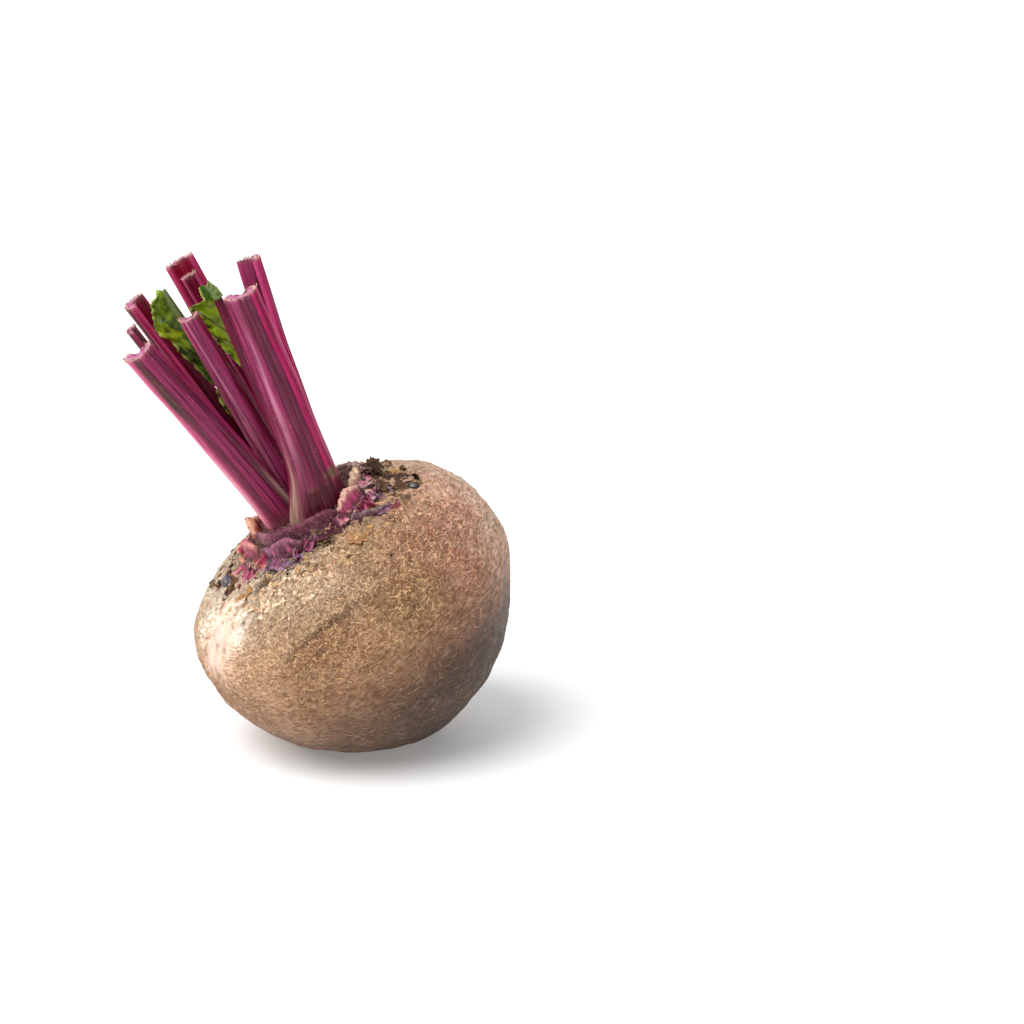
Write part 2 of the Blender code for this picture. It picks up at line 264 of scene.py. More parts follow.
def disc(rings, spokes, centre, right, forward, curl, crumple, seed, thickness):
    """A closed thin flake with a torn outline, curled along one way and crumpled.

    Also returns how far out each point is, 0 at the middle and about 1 at the rim."""
    points = []
    normal = np.cross(right, forward)
    normal /= np.linalg.norm(normal)
    turn = np.arange(spokes) * 2 * math.pi / spokes
    outline = 1 + 0.42 * noise_at(np.stack([np.cos(turn), np.sin(turn), turn * 0], 1), 0.55, seed)
    size = (np.linalg.norm(right) + np.linalg.norm(forward)) / 2
    for side in (0.5, -0.5):
        flat = [np.zeros((1, 2))]
        for ring in range(1, rings + 1):
            reach = outline * ring / rings
            flat.append(np.stack([np.cos(turn) * reach, np.sin(turn) * reach], 1))
        flat = np.vstack(flat)
        place = centre + flat[:, :1] * right + flat[:, 1:] * forward
        dents = noise_at(np.c_[flat, flat[:, 0] * 0], 0.8, seed + 1, 2)
        bend = curl * size * flat[:, 0] ** 2 + crumple * size * dents
        thin = thickness * (1.15 - np.clip(np.hypot(*flat.T), 0, 1))
        points.append(place + normal * (bend + side * thin)[:, None])
    half = len(points[0])
    faces = []
    for side in (0, 1):
        start = side * half
        fan = [(start, start + 1 + i, start + 1 + (i + 1) % spokes) for i in range(spokes)]
        quads = [tuple(start + 1 + index for index in face) for face in ring_faces(rings, spokes)]
        faces += [tuple(reversed(face)) if side else face for face in fan + quads]
    last = 1 + (rings - 1) * spokes
    for i in range(spokes):
        j = (i + 1) % spokes
        faces.append((last + i, half + last + i, half + last + j, last + j))
    return np.vstack(points), faces, np.concatenate([np.hypot(*flat.T)] * 2)


def ball_mesh(subdivisions):
    """Points and faces of a ball of radius 1."""
    shape = bmesh.new()
    bmesh.ops.create_icosphere(shape, subdivisions=subdivisions, radius=1.0)
    points = np.array([vert.co for vert in shape.verts])
    faces = [tuple(vert.index for vert in face.verts) for face in shape.faces]
    shape.free()
    return points, faces


def put(name, data):
    """Adds an object with this mesh, lamp or camera to the scene."""
    thing = bpy.data.objects.new(name, data)
    bpy.context.scene.collection.objects.link(thing)
    return thing


# ---------------------------------------------------------------- materials


class Surface:
    """A procedural Principled material."""

    def __init__(self, name, **constants):
        self.material = bpy.data.materials.new(name)
        self.material.use_nodes = True
        self.tree = self.material.node_tree
        self.shader = self.tree.nodes["Principled BSDF"]
        for key, value in constants.items():
            self.shader.inputs[key.replace("_", " ")].default_value = value
        self.place = self.add("Attribute", output=1, attribute_name="place")

    def feed(self, socket, value):
        """Links an output to the input socket, or sets its value. A colour is red, green, blue in sRGB."""
        if isinstance(value, bpy.types.NodeSocket):
            self.tree.links.new(value, socket)
        elif socket.type == "RGBA":
            socket.default_value = (*paint(*value), 1.0)
        else:
            socket.default_value = value

    def add(self, kind, inputs=(), output=0, **settings):
        """A new shader node's output."""
        node = self.tree.nodes.new("ShaderNode" + kind)
        for key, value in settings.items():
            setattr(node, key, value)
        for key, value in dict(inputs).items():
            self.feed(node.inputs[key], value)
        return node.outputs[output]

    def math(self, operation, *values, clamp=False):
        return self.add("Math", enumerate(values), operation=operation, use_clamp=clamp)

    def times(self, first, second):
        return self.math("MULTIPLY", first, second)

    def plus(self, first, second, clamp=False):
        return self.math("ADD", first, second, clamp=clamp)

    def minus(self, first, second, clamp=False):
        return self.math("SUBTRACT", first, second, clamp=clamp)

    def mix(self, share, low, high, blend="MIX"):
        """Lays a colour over another in a share."""
        inputs = {0: share, 6: low, 7: high}
        return self.add("Mix", inputs, output=2, data_type="RGBA", blend_type=blend)

    def tone(self):
        """The colour given to each point."""
        return self.add("Attribute", attribute_name="tone")

    def wear(self):
        """The wear given to each point."""
        return self.add("Attribute", output=2, attribute_name="wear")

    def stretched(self, *scale):
        """The pattern's coordinates, scaled apart along x, y and z."""
        return self.add("Mapping", {"Vector": self.place, "Scale": scale})

    def noise(self, scale, detail=2.0, distortion=0.0, vector=None):
        inputs = {"Vector": vector or self.place, "Scale": scale, "Detail": detail, "Distortion": distortion}
        return self.add("TexNoise", inputs)

    def strands(self, scale, width, shift, distortion=0.4):
        """Curly lines: where a noise crosses its middle value."""
        inputs = {0: self.place, 1: (shift, shift * 0.7, shift * 1.3)}
        vector = self.add("VectorMath", inputs, operation="ADD")
        value = self.noise(scale, 1.0, distortion, vector)
        away = self.math("ABSOLUTE", self.minus(value, 0.5))
        return self.minus(1.0, self.math("DIVIDE", away, width), clamp=True)

    def ramp(self, value, low, high):
        """0 at low, 1 at high and smooth between, the other way round if low is above high."""
        inputs = {"Value": value, "From Min": low, "From Max": high}
        return self.add("MapRange", inputs, interpolation_type="SMOOTHSTEP")

    def patches(self, under, value, low, high, share, blend, colour):
        """Shows the tone blended with a colour, in a share, where the value runs from low to high."""
        over = self.mix(blend, self.tone(), colour)
        return self.mix(self.times(self.ramp(value, low, high), share), under, over)

    def finish(self, colour, roughness, height=None, depth=0.0002, strength=1.0):
        """Connects the shader, with a bump from a height in metres of depth."""
        self.feed(self.shader.inputs["Base Color"], colour)
        self.feed(self.shader.inputs["Roughness"], roughness)
        if height:
            inputs = {"Strength": strength, "Distance": depth, "Height": height}
            self.feed(self.shader.inputs["Normal"], self.add("Bump", inputs))
        return self.material


def skin_material():
    """Corky skin: felted curly strands with painted shade in the gaps between them where wear is high, fine
    level grain and dark freckles elsewhere.

    Wear is below 0 on the smooth cheek."""
    s = Surface("root_skin_look", Specular_IOR_Level=0.26, Sheen_Weight=0.05)
    tone, wear = s.tone(), s.wear()
    felt = s.math("MAXIMUM", wear, 0.0)
    rough_skin = s.plus(1.0, s.math("MINIMUM", wear, 0.0), clamp=True)
    coarse = s.strands(430, 0.050, 0.00)
    middle = s.strands(760, 0.055, 3.10)
    fine = s.strands(1300, 0.070, 7.70)
    strands = s.math("MAXIMUM", coarse, s.math("MAXIMUM", s.times(middle, 0.85), s.times(fine, 0.6)))
    grain = s.noise(1.0, 3.0, 0.3, s.stretched(460, 460, 1700))
    blotch = s.noise(260, 3.0, 0.6)
    freckles = s.add("TexVoronoi", {"Vector": s.place, "Scale": 520.0})
    freckles = s.times(s.ramp(freckles, 0.22, 0.10), s.ramp(s.noise(140, 2.0), 0.50, 0.60))
    dashes = s.times(s.strands(620, 0.022, 5.30), s.ramp(s.noise(520, 2.0), 0.50, 0.62))
    light = s.times(strands, felt)
    # Painted shade: the gaps between the felted strands are darkened.
    gap_shade = s.times(s.minus(1.0, strands), felt)
    colour = s.mix(s.times(gap_shade, 0.88), tone, s.mix(1.0, tone, (144, 106, 76), "MULTIPLY"))
    colour = s.mix(s.times(light, 0.66), colour, s.mix(0.5, tone, (252, 214, 160)))
    grainy = s.times(s.ramp(grain, 0.58, 0.40), s.times(rough_skin, 0.62))
    colour = s.mix(grainy, colour, s.mix(1.0, tone, (140, 110, 86), "MULTIPLY"))
    colour = s.patches(colour, blotch, 0.56, 0.72, s.times(rough_skin, 0.25), 0.45, (230, 206, 168))
    stain = s.times(s.ramp(blotch, 0.44, 0.28), s.times(rough_skin, 0.40))
    colour = s.mix(stain, colour, (112, 80, 52))
    colour = s.mix(s.times(dashes, s.times(rough_skin, 0.6)), colour, (84, 56, 38))
    colour = s.mix(s.times(freckles, 0.7), colour, (74, 50, 34))
    lift = s.times(rough_skin, s.minus(0.75, s.times(felt, 0.4)))
    height = s.plus(light, s.times(grain, lift))
    roughness = s.plus(0.48, s.times(felt, 0.34))
    return s.finish(colour, roughness, height, 0.0006, 1.0)


def fibre_material():
    """The felt's loose strands."""
    s = Surface("root_fibre_look", Specular_IOR_Level=0.3, Sheen_Weight=0.1)
    colour = s.patches(s.tone(), s.noise(900, 2.0), 0.35, 0.7, 1.0, 0.35, (120, 86, 52))
    return s.finish(colour, 0.7, s.noise(4000, 1.0), 0.00004, 0.4)


def stalk_material():
    """Smooth ribbed skin with fine strings along it. Wear marks the cut, torn or woolly parts."""
    s = Surface("stalk_skin_look", Specular_IOR_Level=0.22, Coat_Weight=0.03, Coat_Roughness=0.3)
    tone, wear = s.tone(), s.wear()
    strings = s.noise(1.0, 2.0, 0.0, s.stretched(2600, 2600, 90))
    mottle = s.noise(420, 3.0, 0.3, s.stretched(1, 1, 0.35))
    specks = s.add("TexVoronoi", {"Vector": s.place, "Scale": 900.0})
    specks = s.times(s.ramp(specks, 0.2, 0.08), s.ramp(s.noise(170, 1.0), 0.58, 0.7))
    colour = s.patches(tone, strings, 0.5, 0.75, 0.30, 0.45, (214, 92, 140))
    colour = s.patches(colour, strings, 0.48, 0.28, 0.7, 0.6, (50, 2, 24))
    colour = s.patches(colour, mottle, 0.5, 0.75, 0.25, 0.5, (120, 60, 90))
    colour = s.mix(s.times(specks, 0.5), colour, (210, 160, 185))
    rough = s.plus(0.34, s.times(wear, 0.4))
    height = s.plus(strings, s.times(s.noise(1600, 3.0), wear))
    return s.finish(colour, rough, height, 0.00016, 0.6)


def blade_material():
    """Quilted green leaf."""
    s = Surface("leaf_blade_look", Specular_IOR_Level=0.24, Coat_Weight=0.04, Coat_Roughness=0.3)
    tone = s.tone()
    quilt = s.add("TexVoronoi", {"Vector": s.place, "Scale": 620.0}, feature="DISTANCE_TO_EDGE")
    colour = s.mix(s.times(s.ramp(quilt, 0.10, 0.0), 0.14), tone, (140, 170, 40))
    colour = s.patches(colour, s.noise(800, 3.0), 0.5, 0.8, 0.3, 0.6, (30, 50, 15))
    return s.finish(colour, 0.36, quilt, 0.0003, 0.7)


def base_material():
    """Torn leaf bases: woolly and matte where wear is high, waxy elsewhere."""
    s = Surface(
        "leaf_base_look", Specular_IOR_Level=0.35, Coat_Weight=0.06, Coat_Roughness=0.3, Sheen_Weight=0.04
    )
    tone, wear = s.tone(), s.wear()
    wool = s.noise(1900, 3.0, 0.5)
    lines = s.noise(1.0, 2.0, 0.2, s.stretched(1500, 1500, 260))
    crumbs = s.times(s.ramp(s.noise(620, 4.0, 0.4), 0.60, 0.70), 0.65)
    colour = s.patches(tone, lines, 0.5, 0.72, 0.25, 0.5, (226, 160, 186))
    colour = s.patches(colour, lines, 0.5, 0.3, 0.55, 0.6, (70, 12, 42))
    colour = s.mix(s.times(s.times(s.ramp(wool, 0.54, 0.70), wear), 0.30), colour, (190, 140, 164))
    colour = s.mix(crumbs, colour, (86, 60, 50))
    height = s.plus(s.times(wool, wear), s.times(lines, 0.5))
    return s.finish(colour, s.plus(0.36, s.times(wear, 0.4)), height, 0.00025, 0.8)


def husk_material():
    """Dry brown tissue: dark, crinkled and matte."""
    s = Surface("dry_husk_look", Specular_IOR_Level=0.25)
    tone = s.tone()
    crinkle = s.noise(900, 4.0, 0.8)
    veins = s.noise(1.0, 2.0, 0.6, s.stretched(900, 2600, 900))
    colour = s.patches(tone, crinkle, 0.5, 0.75, 0.45, 0.5, (190, 150, 108))
    colour = s.mix(s.times(s.ramp(veins, 0.5, 0.3), 0.45), colour, (52, 36, 28))
    return s.finish(colour, 0.82, s.plus(crinkle, s.times(veins, 0.5)), 0.0003, 0.9)


def bud_material():
    """A dead bud: glossy grey-violet."""
    s = Surface("dead_bud_look", Specular_IOR_Level=0.45, Coat_Weight=0.2, Coat_Roughness=0.2)
    tone = s.tone()
    cloud = s.noise(700, 3.0, 0.4)
    colour = s.patches(tone, cloud, 0.45, 0.7, 0.5, 0.25, (200, 196, 206))
    return s.finish(colour, 0.32, cloud, 0.0001, 0.5)


# ---------------------------------------------------------------- the root

ROOT_SPOKES = 420
ROOT_RINGS = 228
CROWDING = 0.25  # how much closer the rings stand near the crown and the tail
SKIN_RADIUS = 46  # the skin's usual distance from the origin, in millimetres
COLLAR_FOLDS = 34


def unit(bearing, polar):
    """The direction of a place on the skin."""
    b, p = math.radians(bearing), math.radians(polar)
    return np.array((math.sin(p) * math.cos(b), math.sin(p) * math.sin(b), math.cos(p)))


def near(directions, places, radius):
    """1 on a place or on the line through several, falling to a third at the radius in millimetres."""
    knots = np.array([unit(*place) for place in places])
    if len(knots) > 1:
        knots = smooth_through(knots, 12 * len(knots))
        knots /= np.linalg.norm(knots, axis=1)[:, None]
    closest = np.max(directions @ knots.T, axis=1)
    return bump(np.arccos(np.clip(closest, -1, 1)) * SKIN_RADIUS, 0, radius)


def polar_of(directions):
    """Each direction's angle from the growth axis in degrees."""
    return np.degrees(np.arccos(np.clip(directions[:, 2], -1, 1)))


def root_reach(d):
    """The CAD's root, as the distance from the middle of its widest ring in each direction."""
    across, z = np.hypot(d[:, 0], d[:, 1]), d[:, 2]
    height = np.where(z < 0, BELLY_DEPTH, SHOULDER_HEIGHT)
    power = np.where(z < 0, BELLY_POWER, SHOULDER_POWER)
    reach = ((across / ROOT_RADIUS) ** power + (np.abs(z) / height) ** power) ** (-1 / power)
    reach *= 1 + LUMP_SIZE * np.array([noise.noise(Vector(p) * LUMP_PITCH + LUMP_SEED) for p in d.tolist()])
    reach += TAIL_RISE * bump(np.arctan2(across, -z), 0, TAIL_FLARE)
    table = np.array((*CROWN_CENTRE, TABLE_HEIGHT))
    off_crown = np.arccos(np.clip(d @ (table / np.linalg.norm(table)), -1, 1))
    return reach + CROWN_RISE * smooth_fall(off_crown, CROWN_INNER, CROWN_OUTER)


# Small marks on the skin, as (bearing, angle from +Z). The holes have a radius in millimetres too.
CREASE = [(-118, 75), (-110, 71.5), (-103, 70), (-95, 69), (-86, 69.5), (-78, 69)]
HOLES = [
    ((0, 54), 2.2), ((-27, 41), 2.0), ((-20, 45), 1.4), ((8, 45), 1.5), ((-63, 62), 0.8), ((22, 50), 1.6),
    ((-140, 50), 1.0),
]
CREVICES = [
    [(-78, 38), (-92, 36)], [(-99, 33), (-104, 38)], [(-45, 38), (-38, 41)], [(-128, 40), (-134, 46)],
]
EYE = (-46.6, 54)
POCKS = [
    (-120, 62), (-136, 58), (-70, 80), (-96, 88), (-60, 68), (-150, 75), (-30, 60), (-10, 66), (60, 60),
    (140, 70), (-106, 96),
]


def skin_marks(directions, points):
    """Relief in metres, colour and feltedness of the skin at each point. The colour holds painted light and
    shade as well.
    """

    def spot(places, radius):
        return near(directions, places, radius)

    polar = polar_of(directions)
    bearing = np.degrees(np.arctan2(directions[:, 1], directions[:, 0]))
    broad = noise_at(points, 22 * MM, 1, 2)
    patchy = noise_at(points, 7 * MM, 2, 3)
    small = noise_at(points, 2.4 * MM, 3, 2)
    tiny = noise_at(points, 1.2 * MM, 4)
    flaky = noise_at(points, 4.2 * MM, 5, 3)

    cheek = spot([(-151, 60), (-158, 68)], 7.0) + 0.3 * spot([(-150, 64)], 12)
    cheek = np.clip(cheek * (0.9 + 0.5 * patchy + 0.3 * small), 0, 1)
    right = 0.5 + 0.5 * np.cos(np.radians(bearing + 40))  # 1 on the side that faces right
    felt = smooth_fall(polar, 70, 104) * (0.75 + 0.35 * patchy) * (0.55 + 0.6 * right)
    felt = np.clip(felt * (1 - 0.92 * cheek) + 0.16, 0, 1)
    shoulder = smooth_fall(polar + 5 * patchy, 36, 54)
    crown = smooth_fall(polar + 4 * flaky, 27, 40)
    inside = smooth_fall(polar, 20, 27)
    run = np.stack([points[:, 0] - CROWN_CENTRE[0], points[:, 1] - CROWN_CENTRE[1]], 1) / MM
    ring, around = np.hypot(*run.T), np.degrees(np.arctan2(run[:, 1], run[:, 0]))
    collar = smooth_fall(ring + 2.2 * patchy, 19, 24.5) * (directions[:, 2] > 0)
    folds = np.sin(np.radians(around) * COLLAR_FOLDS + 3 * patchy)

    crease = spot(CREASE, 0.8) * (0.45 + 0.55 * bump(bearing, -98, 8))
    lip = spot([(b, p - 2.6) for b, p in CREASE], 1.6)
    holes = sum(spot([place], size) for place, size in HOLES)
    crevices = sum(spot(line, 1.3) for line in CREVICES)
    eye = spot([EYE], 1.5)
    eye_rim = np.clip(spot([EYE], 3.4) - eye, 0, 1)
    pocks = sum(spot([place], 0.9) for place in POCKS)

    relief = 0.42 * broad + 0.22 * patchy * (1 - 0.7 * cheek)
    relief += felt * (0.24 * (1 - 2 * np.abs(small)) + 0.14 * tiny)
    relief += shoulder * (0.85 * (0.6 - 1.6 * np.abs(flaky)) + 0.42 * (0.4 - np.abs(small)))
    relief += 0.3 * collar * folds
    relief += -0.8 * crease + 0.5 * lip - 1.7 * np.clip(holes, 0, 1) - 1.2 * np.clip(crevices, 0, 1)
    relief += 0.5 * eye_rim - 0.7 * eye - 0.45 * np.clip(pocks, 0, 1)

    # Painted bounce light: a pale pink-cream lobe on the root's shaded right edge.
    edge = bump(bearing, 2, 40) * bump(polar, 74, 26)
    # Painted shade and light: lower and bottom are darker low down, most on the right side away from the key
    # light; top is paler on top, least on the right.
    lower = (1 - smooth_fall(polar + 6 * patchy, 64, 100)) * (0.18 + 0.82 * right)
    bottom = 1 - smooth_fall(polar, 84, 118)
    top = smooth_fall(polar, 56, 74) * (1 - 0.88 * right**2)
    brown = spot([(-46, 62), (-52, 48)], 11)
    pink = spot([(-30, 62), (-46, 72)], 17)
    light = spot([(-106, 52), (-116, 56)], 5)
    stain = shoulder * np.clip(0.25 + 0.9 * flaky + 0.3 * small, 0, 1)
    tone = mix(paint(194, 146, 108), paint(232, 190, 152), 0.5 + 0.8 * broad + 0.5 * patchy)
    tone = tint(
        tone,
        (226, 172, 120, felt * (0.35 + 0.35 * patchy)),
        # painted shade: darker brown low down, most on the right
        (138, 88, 60, 0.80 * lower + 0.2 * small * lower),
        # painted shade: dark brown at the bottom, most on the right
        (84, 46, 32, 0.94 * bottom * (0.22 + 0.78 * right)),
        # painted light: paler cream on top
        (255, 240, 218, top * (0.94 + 0.6 * patchy)),
        (166, 112, 82, 0.5 * brown * (0.7 + 0.7 * patchy)),
        # painted bounce light on the right edge
        (255, 214, 194, 2.0 * edge * (0.8 + 0.4 * small)),
        (192, 102, 84, 0.52 * pink * (0.8 + 0.5 * patchy)),
        (216, 184, 166, cheek * (0.9 + 0.1 * small)),
        (232, 204, 160, 0.75 * light * (0.7 + 0.5 * small)),
        (112, 86, 74, 0.66 * stain),
        (238, 210, 176, 0.7 * shoulder * np.clip(-0.9 * flaky + 0.2 * small, 0, 1)),
        (116, 92, 104, 0.55 * shoulder * np.clip(0.9 * patchy - 0.15, 0, 1)),
    )
    violet = mix(paint(132, 54, 88), paint(84, 30, 54), 0.5 + 0.5 * folds + 0.5 * small)
    tone = mix(tone, violet, 0.9 * collar)
    green = 0.5 * spot([(-65, 50)], 5) + 0.3 * spot([(-70, 78)], 9)
    grey = spot([(-130, 46), (-127, 39)], 2.6)
    bruise = spot([(-92, 74), (-80, 60), (-70, 66)], 2.0)
    cream = 0.6 * spot([(-108, 50), (-118, 54)], 3.0) + 0.5 * spot([(-99, 52)], 2.0)
    tone = tint(
        tone,
        (46, 32, 28, 0.8 * crown * np.clip(0.2 + flaky, 0, 1)),
        (110, 26, 56, 0.6 * inside),
        (150, 138, 74, green),
        (132, 128, 134, 0.7 * spot([(-58, 35), (-42, 43)], 1.7)),
        (236, 228, 220, 0.8 * spot([(-110, 44), (-105, 43)], 1.6)),
        (92, 74, 64, 0.7 * grey * (0.6 + 0.5 * small)),
        # painted shade: holes, crevices and pocks darkened, the holes and crevices near black inside
        (64, 42, 34, 0.85 * np.clip(holes + crevices + 0.7 * pocks, 0, 1)),
        (22, 14, 14, np.clip(1.6 * (holes + crevices) - 0.75, 0, 1)),
        # painted shade in the crease and the eye's pit
        (84, 56, 38, 0.85 * crease + 0.7 * eye),
        # painted highlight on the lip above the crease
        (250, 222, 184, 0.35 * lip),
        (112, 90, 92, 0.55 * bruise * (0.5 + 0.8 * small)),
        (250, 232, 206, cream),
    )
    # Painted light and shade: the right edge lighter and the bottom darker, most on the right; small and tiny
    # vary at random.
    tone = tone * (1 + 0.14 * small + 0.10 * tiny + 0.22 * edge - bottom * (0.08 + 0.50 * right))[:, None]
    felt = felt * (1 - 0.45 * np.clip(edge, 0, 1)) * (1 - 0.8 * inside)
    tone = tone * (1 + 0.10 * np.clip(broad, -1, 1) + 0.08 * patchy)[:, None]
    return relief * MM, tone, felt * (1 - cheek) - cheek


def root_mesh():
    """The skin as a dense grid on the CAD's shape, with its relief. Also returns the searchable skin."""
    directions = [(0.0, 0.0, 1.0)]
    for ring in range(1, ROOT_RINGS):
        polar = math.pi * ring / ROOT_RINGS
        polar -= CROWDING * math.sin(2 * polar) / 2
        across, up = math.sin(polar), math.cos(polar)
        for spoke in range(ROOT_SPOKES):
            bearing = 2 * math.pi * spoke / ROOT_SPOKES
            directions.append((across * math.cos(bearing), across * math.sin(bearing), up))
    directions.append((0.0, 0.0, -1.0))
    directions = np.array(directions)
    points = directions * root_reach(directions)[:, None]
    points[:, 2] = np.clip(points[:, 2], -TAIL_CUT, TABLE_HEIGHT)
    relief, tone, felt = skin_marks(directions, points)
    points += directions * relief[:, None]
    points = flattened(points)
    last = len(points) - 1
    faces = [(0, 1 + i, 1 + (i + 1) % ROOT_SPOKES) for i in range(ROOT_SPOKES)]
    faces += [tuple(1 + index for index in face) for face in ring_faces(ROOT_RINGS - 1, ROOT_SPOKES)]
    foot = 1 + (ROOT_RINGS - 2) * ROOT_SPOKES
    faces += [(foot + (i + 1) % ROOT_SPOKES, foot + i, last) for i in range(ROOT_SPOKES)]
    shell = Shell()
    shell.add(points, faces, tone, felt)
    skin = BVHTree.FromPolygons(points.tolist(), faces)
    return shell, skin, points, directions, tone, felt


def flattened(points):
    """Keeps points above the ground, which makes the flat spot."""
    turn, shift = np.array(GROWTH.to_3x3()), np.array(GROWTH.translation)
    world = points @ turn.T + shift
    world[:, 2] = np.maximum(world[:, 2], 0)
    return (world - shift) @ turn


# ---------------------------------------------------------------- fibres


def tubes(paths, normals, radii):
    """Thin three-sided closed tubes. paths is fibres by steps by 3."""
    count, steps, _ = paths.shape
    along = np.gradient(paths, axis=1)
    along /= np.maximum(np.linalg.norm(along, axis=2, keepdims=True), 1e-12)
    side = np.cross(along, normals)
    side /= np.maximum(np.linalg.norm(side, axis=2, keepdims=True), 1e-12)
    up = np.cross(side, along)
    corners = [up, 0.87 * side - 0.5 * up, -0.87 * side - 0.5 * up]
    points = np.stack([paths + corner * radii[..., None] for corner in corners], axis=2)
    one = ring_faces(steps, 3) + [(2, 1, 0), tuple(3 * (steps - 1) + i for i in range(3))]
    faces = [tuple(index + fibre * 3 * steps for index in face) for fibre in range(count) for face in one]
    return points.reshape(-1, 3), faces


def grow_fibres(skin, starts, rng, step, steps, lift, wander):
    """Random walks that hug the skin. Returns paths and normals."""
    paths, normals = [], []
    for start in starts:
        place, normal, _, _ = skin.find_nearest(Vector(start))
        swirl = 2.2 * noise.noise(place * 70) + rng.normal(0, 0.7)
        level = Vector((0, 0, 1)).cross(normal).normalized()
        heading = (Matrix.Rotation(swirl, 3, normal) @ level).normalized()
        curl = rng.normal(0, wander)
        length = step * rng.uniform(0.6, 1.4)
        path, ups = [], []
        for index in range(steps):
            share = index / (steps - 1)
            path.append(place + normal * lift * (math.sin(math.pi * share) * rng.uniform(0.3, 1.6) - 0.25))
            ups.append(normal)
            heading = Matrix.Rotation(curl + rng.normal(0, 0.25), 3, normal) @ heading
            place, normal, _, _ = skin.find_nearest(place + heading * length)
            heading = (heading - normal * heading.dot(normal)).normalized()
        paths.append(path)
        normals.append(ups)
    return np.array(paths), np.array(normals)


def add_fibres(skin, points, directions, tone, felt, material):
    """The felt's loose strands, in two finer pieces and a coarser one."""
    polar = polar_of(directions)
    felt = np.clip(felt, 0, 1)
    open_skin = (polar > 36) & (polar < 150)
    # Of each piece: how many, step, radius, lift off the skin, wander, seed.
    kinds = {
        "root_fibres_fine": (7400, 0.70 * MM, 0.085 * MM, 0.16 * MM, 0.65, 21),
        "root_fibres_more": (7400, 0.80 * MM, 0.095 * MM, 0.18 * MM, 0.50, 23),
        "root_fibres_coarse": (4200, 1.25 * MM, 0.12 * MM, 0.24 * MM, 0.30, 22),
    }
    for name, (count, step, radius, lift, wander, seed) in kinds.items():
        rng = np.random.default_rng(seed)
        weight = np.where(open_skin, felt**1.5 + 0.04, 0) * np.sin(np.radians(polar))
        picked = rng.choice(len(points), count, p=weight / weight.sum())
        paths, normals = grow_fibres(skin, points[picked], rng, step, 5, lift, wander)
        taper = np.array([0.45, 0.95, 1.0, 0.9, 0.35])
        radii = radius * rng.uniform(0.6, 1.35, (count, 1)) * taper
        mesh_points, faces = tubes(paths, normals, radii)
        shade = rng.uniform(0.45, 1.3, count)[:, None]
        golden = mix(tone[picked], paint(248, 202, 146), rng.uniform(0.0, 0.7, count)) * shade
        shell = Shell()
        shell.add(flattened(mesh_points), faces, np.repeat(golden, 15, axis=0), 1.0)
        shell.build(name, [material], "root_skin", tidy_normals=False)


# ---------------------------------------------------------------- stalks

BACK_POINTS = 90
FRONT_POINTS = 30
STALK_STATIONS = 84

RIB_TONES = {
    "M": paint(140, 42, 86),  # mauve
    "P": paint(176, 92, 126),  # pale
    "D": paint(94, 32, 58),  # dull purple
    "R": paint(104, 10, 44),  # maroon
    "C": paint(118, 6, 42),  # crimson
    "B": paint(178, 14, 92),  # bright magenta
    "G": paint(78, 58, 50),  # olive grey
    "K": paint(206, 70, 122),  # pink
}
# The tones of each stalk's ribs from the end of its back at turn 0, then the tone inside its channel.
RIBS = {
    "stalk_front_left": ("KPMDMMDM", "M"),
    "stalk_front_right": ("RMMMDDBBK", "M"),
    "stalk_front_middle": ("KMPMMR", "R"),
    "stalk_slim_left": ("DMR", "G"),
    "stalk_back_left": ("KMRMRC", "C"),
    "stalk_slim_back": ("MRD", "C"),
    "stalk_back_middle": ("BMDMDMB", "C"),
    "stalk_back_right": ("BMDMRMB", "M"),
    "leaf_left": ("DMD", "R"),
    "leaf_right": ("RDR", "R"),
}
# How much painted shade darkens each channel inside. The others are 0.5.
CHANNEL_SHADE = {"stalk_back_right": 0.12, "stalk_back_middle": 0.3, "stalk_back_left": 0.25}


def bezier(start, middle, end, share):
    """The point and the direction at a share of the curve."""
    point = start.lerp(middle, share).lerp(middle.lerp(end, share), share)
    return point, (middle - start).lerp(end - middle, share).normalized()


def stalk_curve(foot, end, bend):
    """The three knots of a stalk's curve, as in the CAD."""
    start = Vector((*(Vector(foot) * MM), TABLE_HEIGHT - 0.2 * MM))
    stop = Vector(end) * MM
    middle = start.lerp(stop, 0.5)
    middle.xy = start.xy.lerp(stop.xy, bend)
    return start, middle, stop


def stalk_frame(slope, bearing):
    """The directions across a stalk and towards its channel."""
    turn = math.radians(bearing)
    inward = Vector((math.cos(turn), math.sin(turn), 0.0))
    inward = (inward - slope * inward.dot(slope)).normalized()
    return slope.cross(inward), inward


def stalk_outline(depth):
    """A stalk's outline for a width of 1: the round back, then the rims and the channel."""
    turn = np.linspace(0, math.pi, BACK_POINTS)
    back = np.stack([0.5 * np.cos(turn), -depth * np.sin(turn)], 1)
    half = [(-0.5, 0), (-0.40, 0.09), (-0.30, 0.05), (-0.18, -0.10)]
    knots = [*half, (0, -0.20), *((-x, y) for x, y in reversed(half))]
    return np.vstack([back, smooth_through(knots, FRONT_POINTS + 2)[1:-1]])


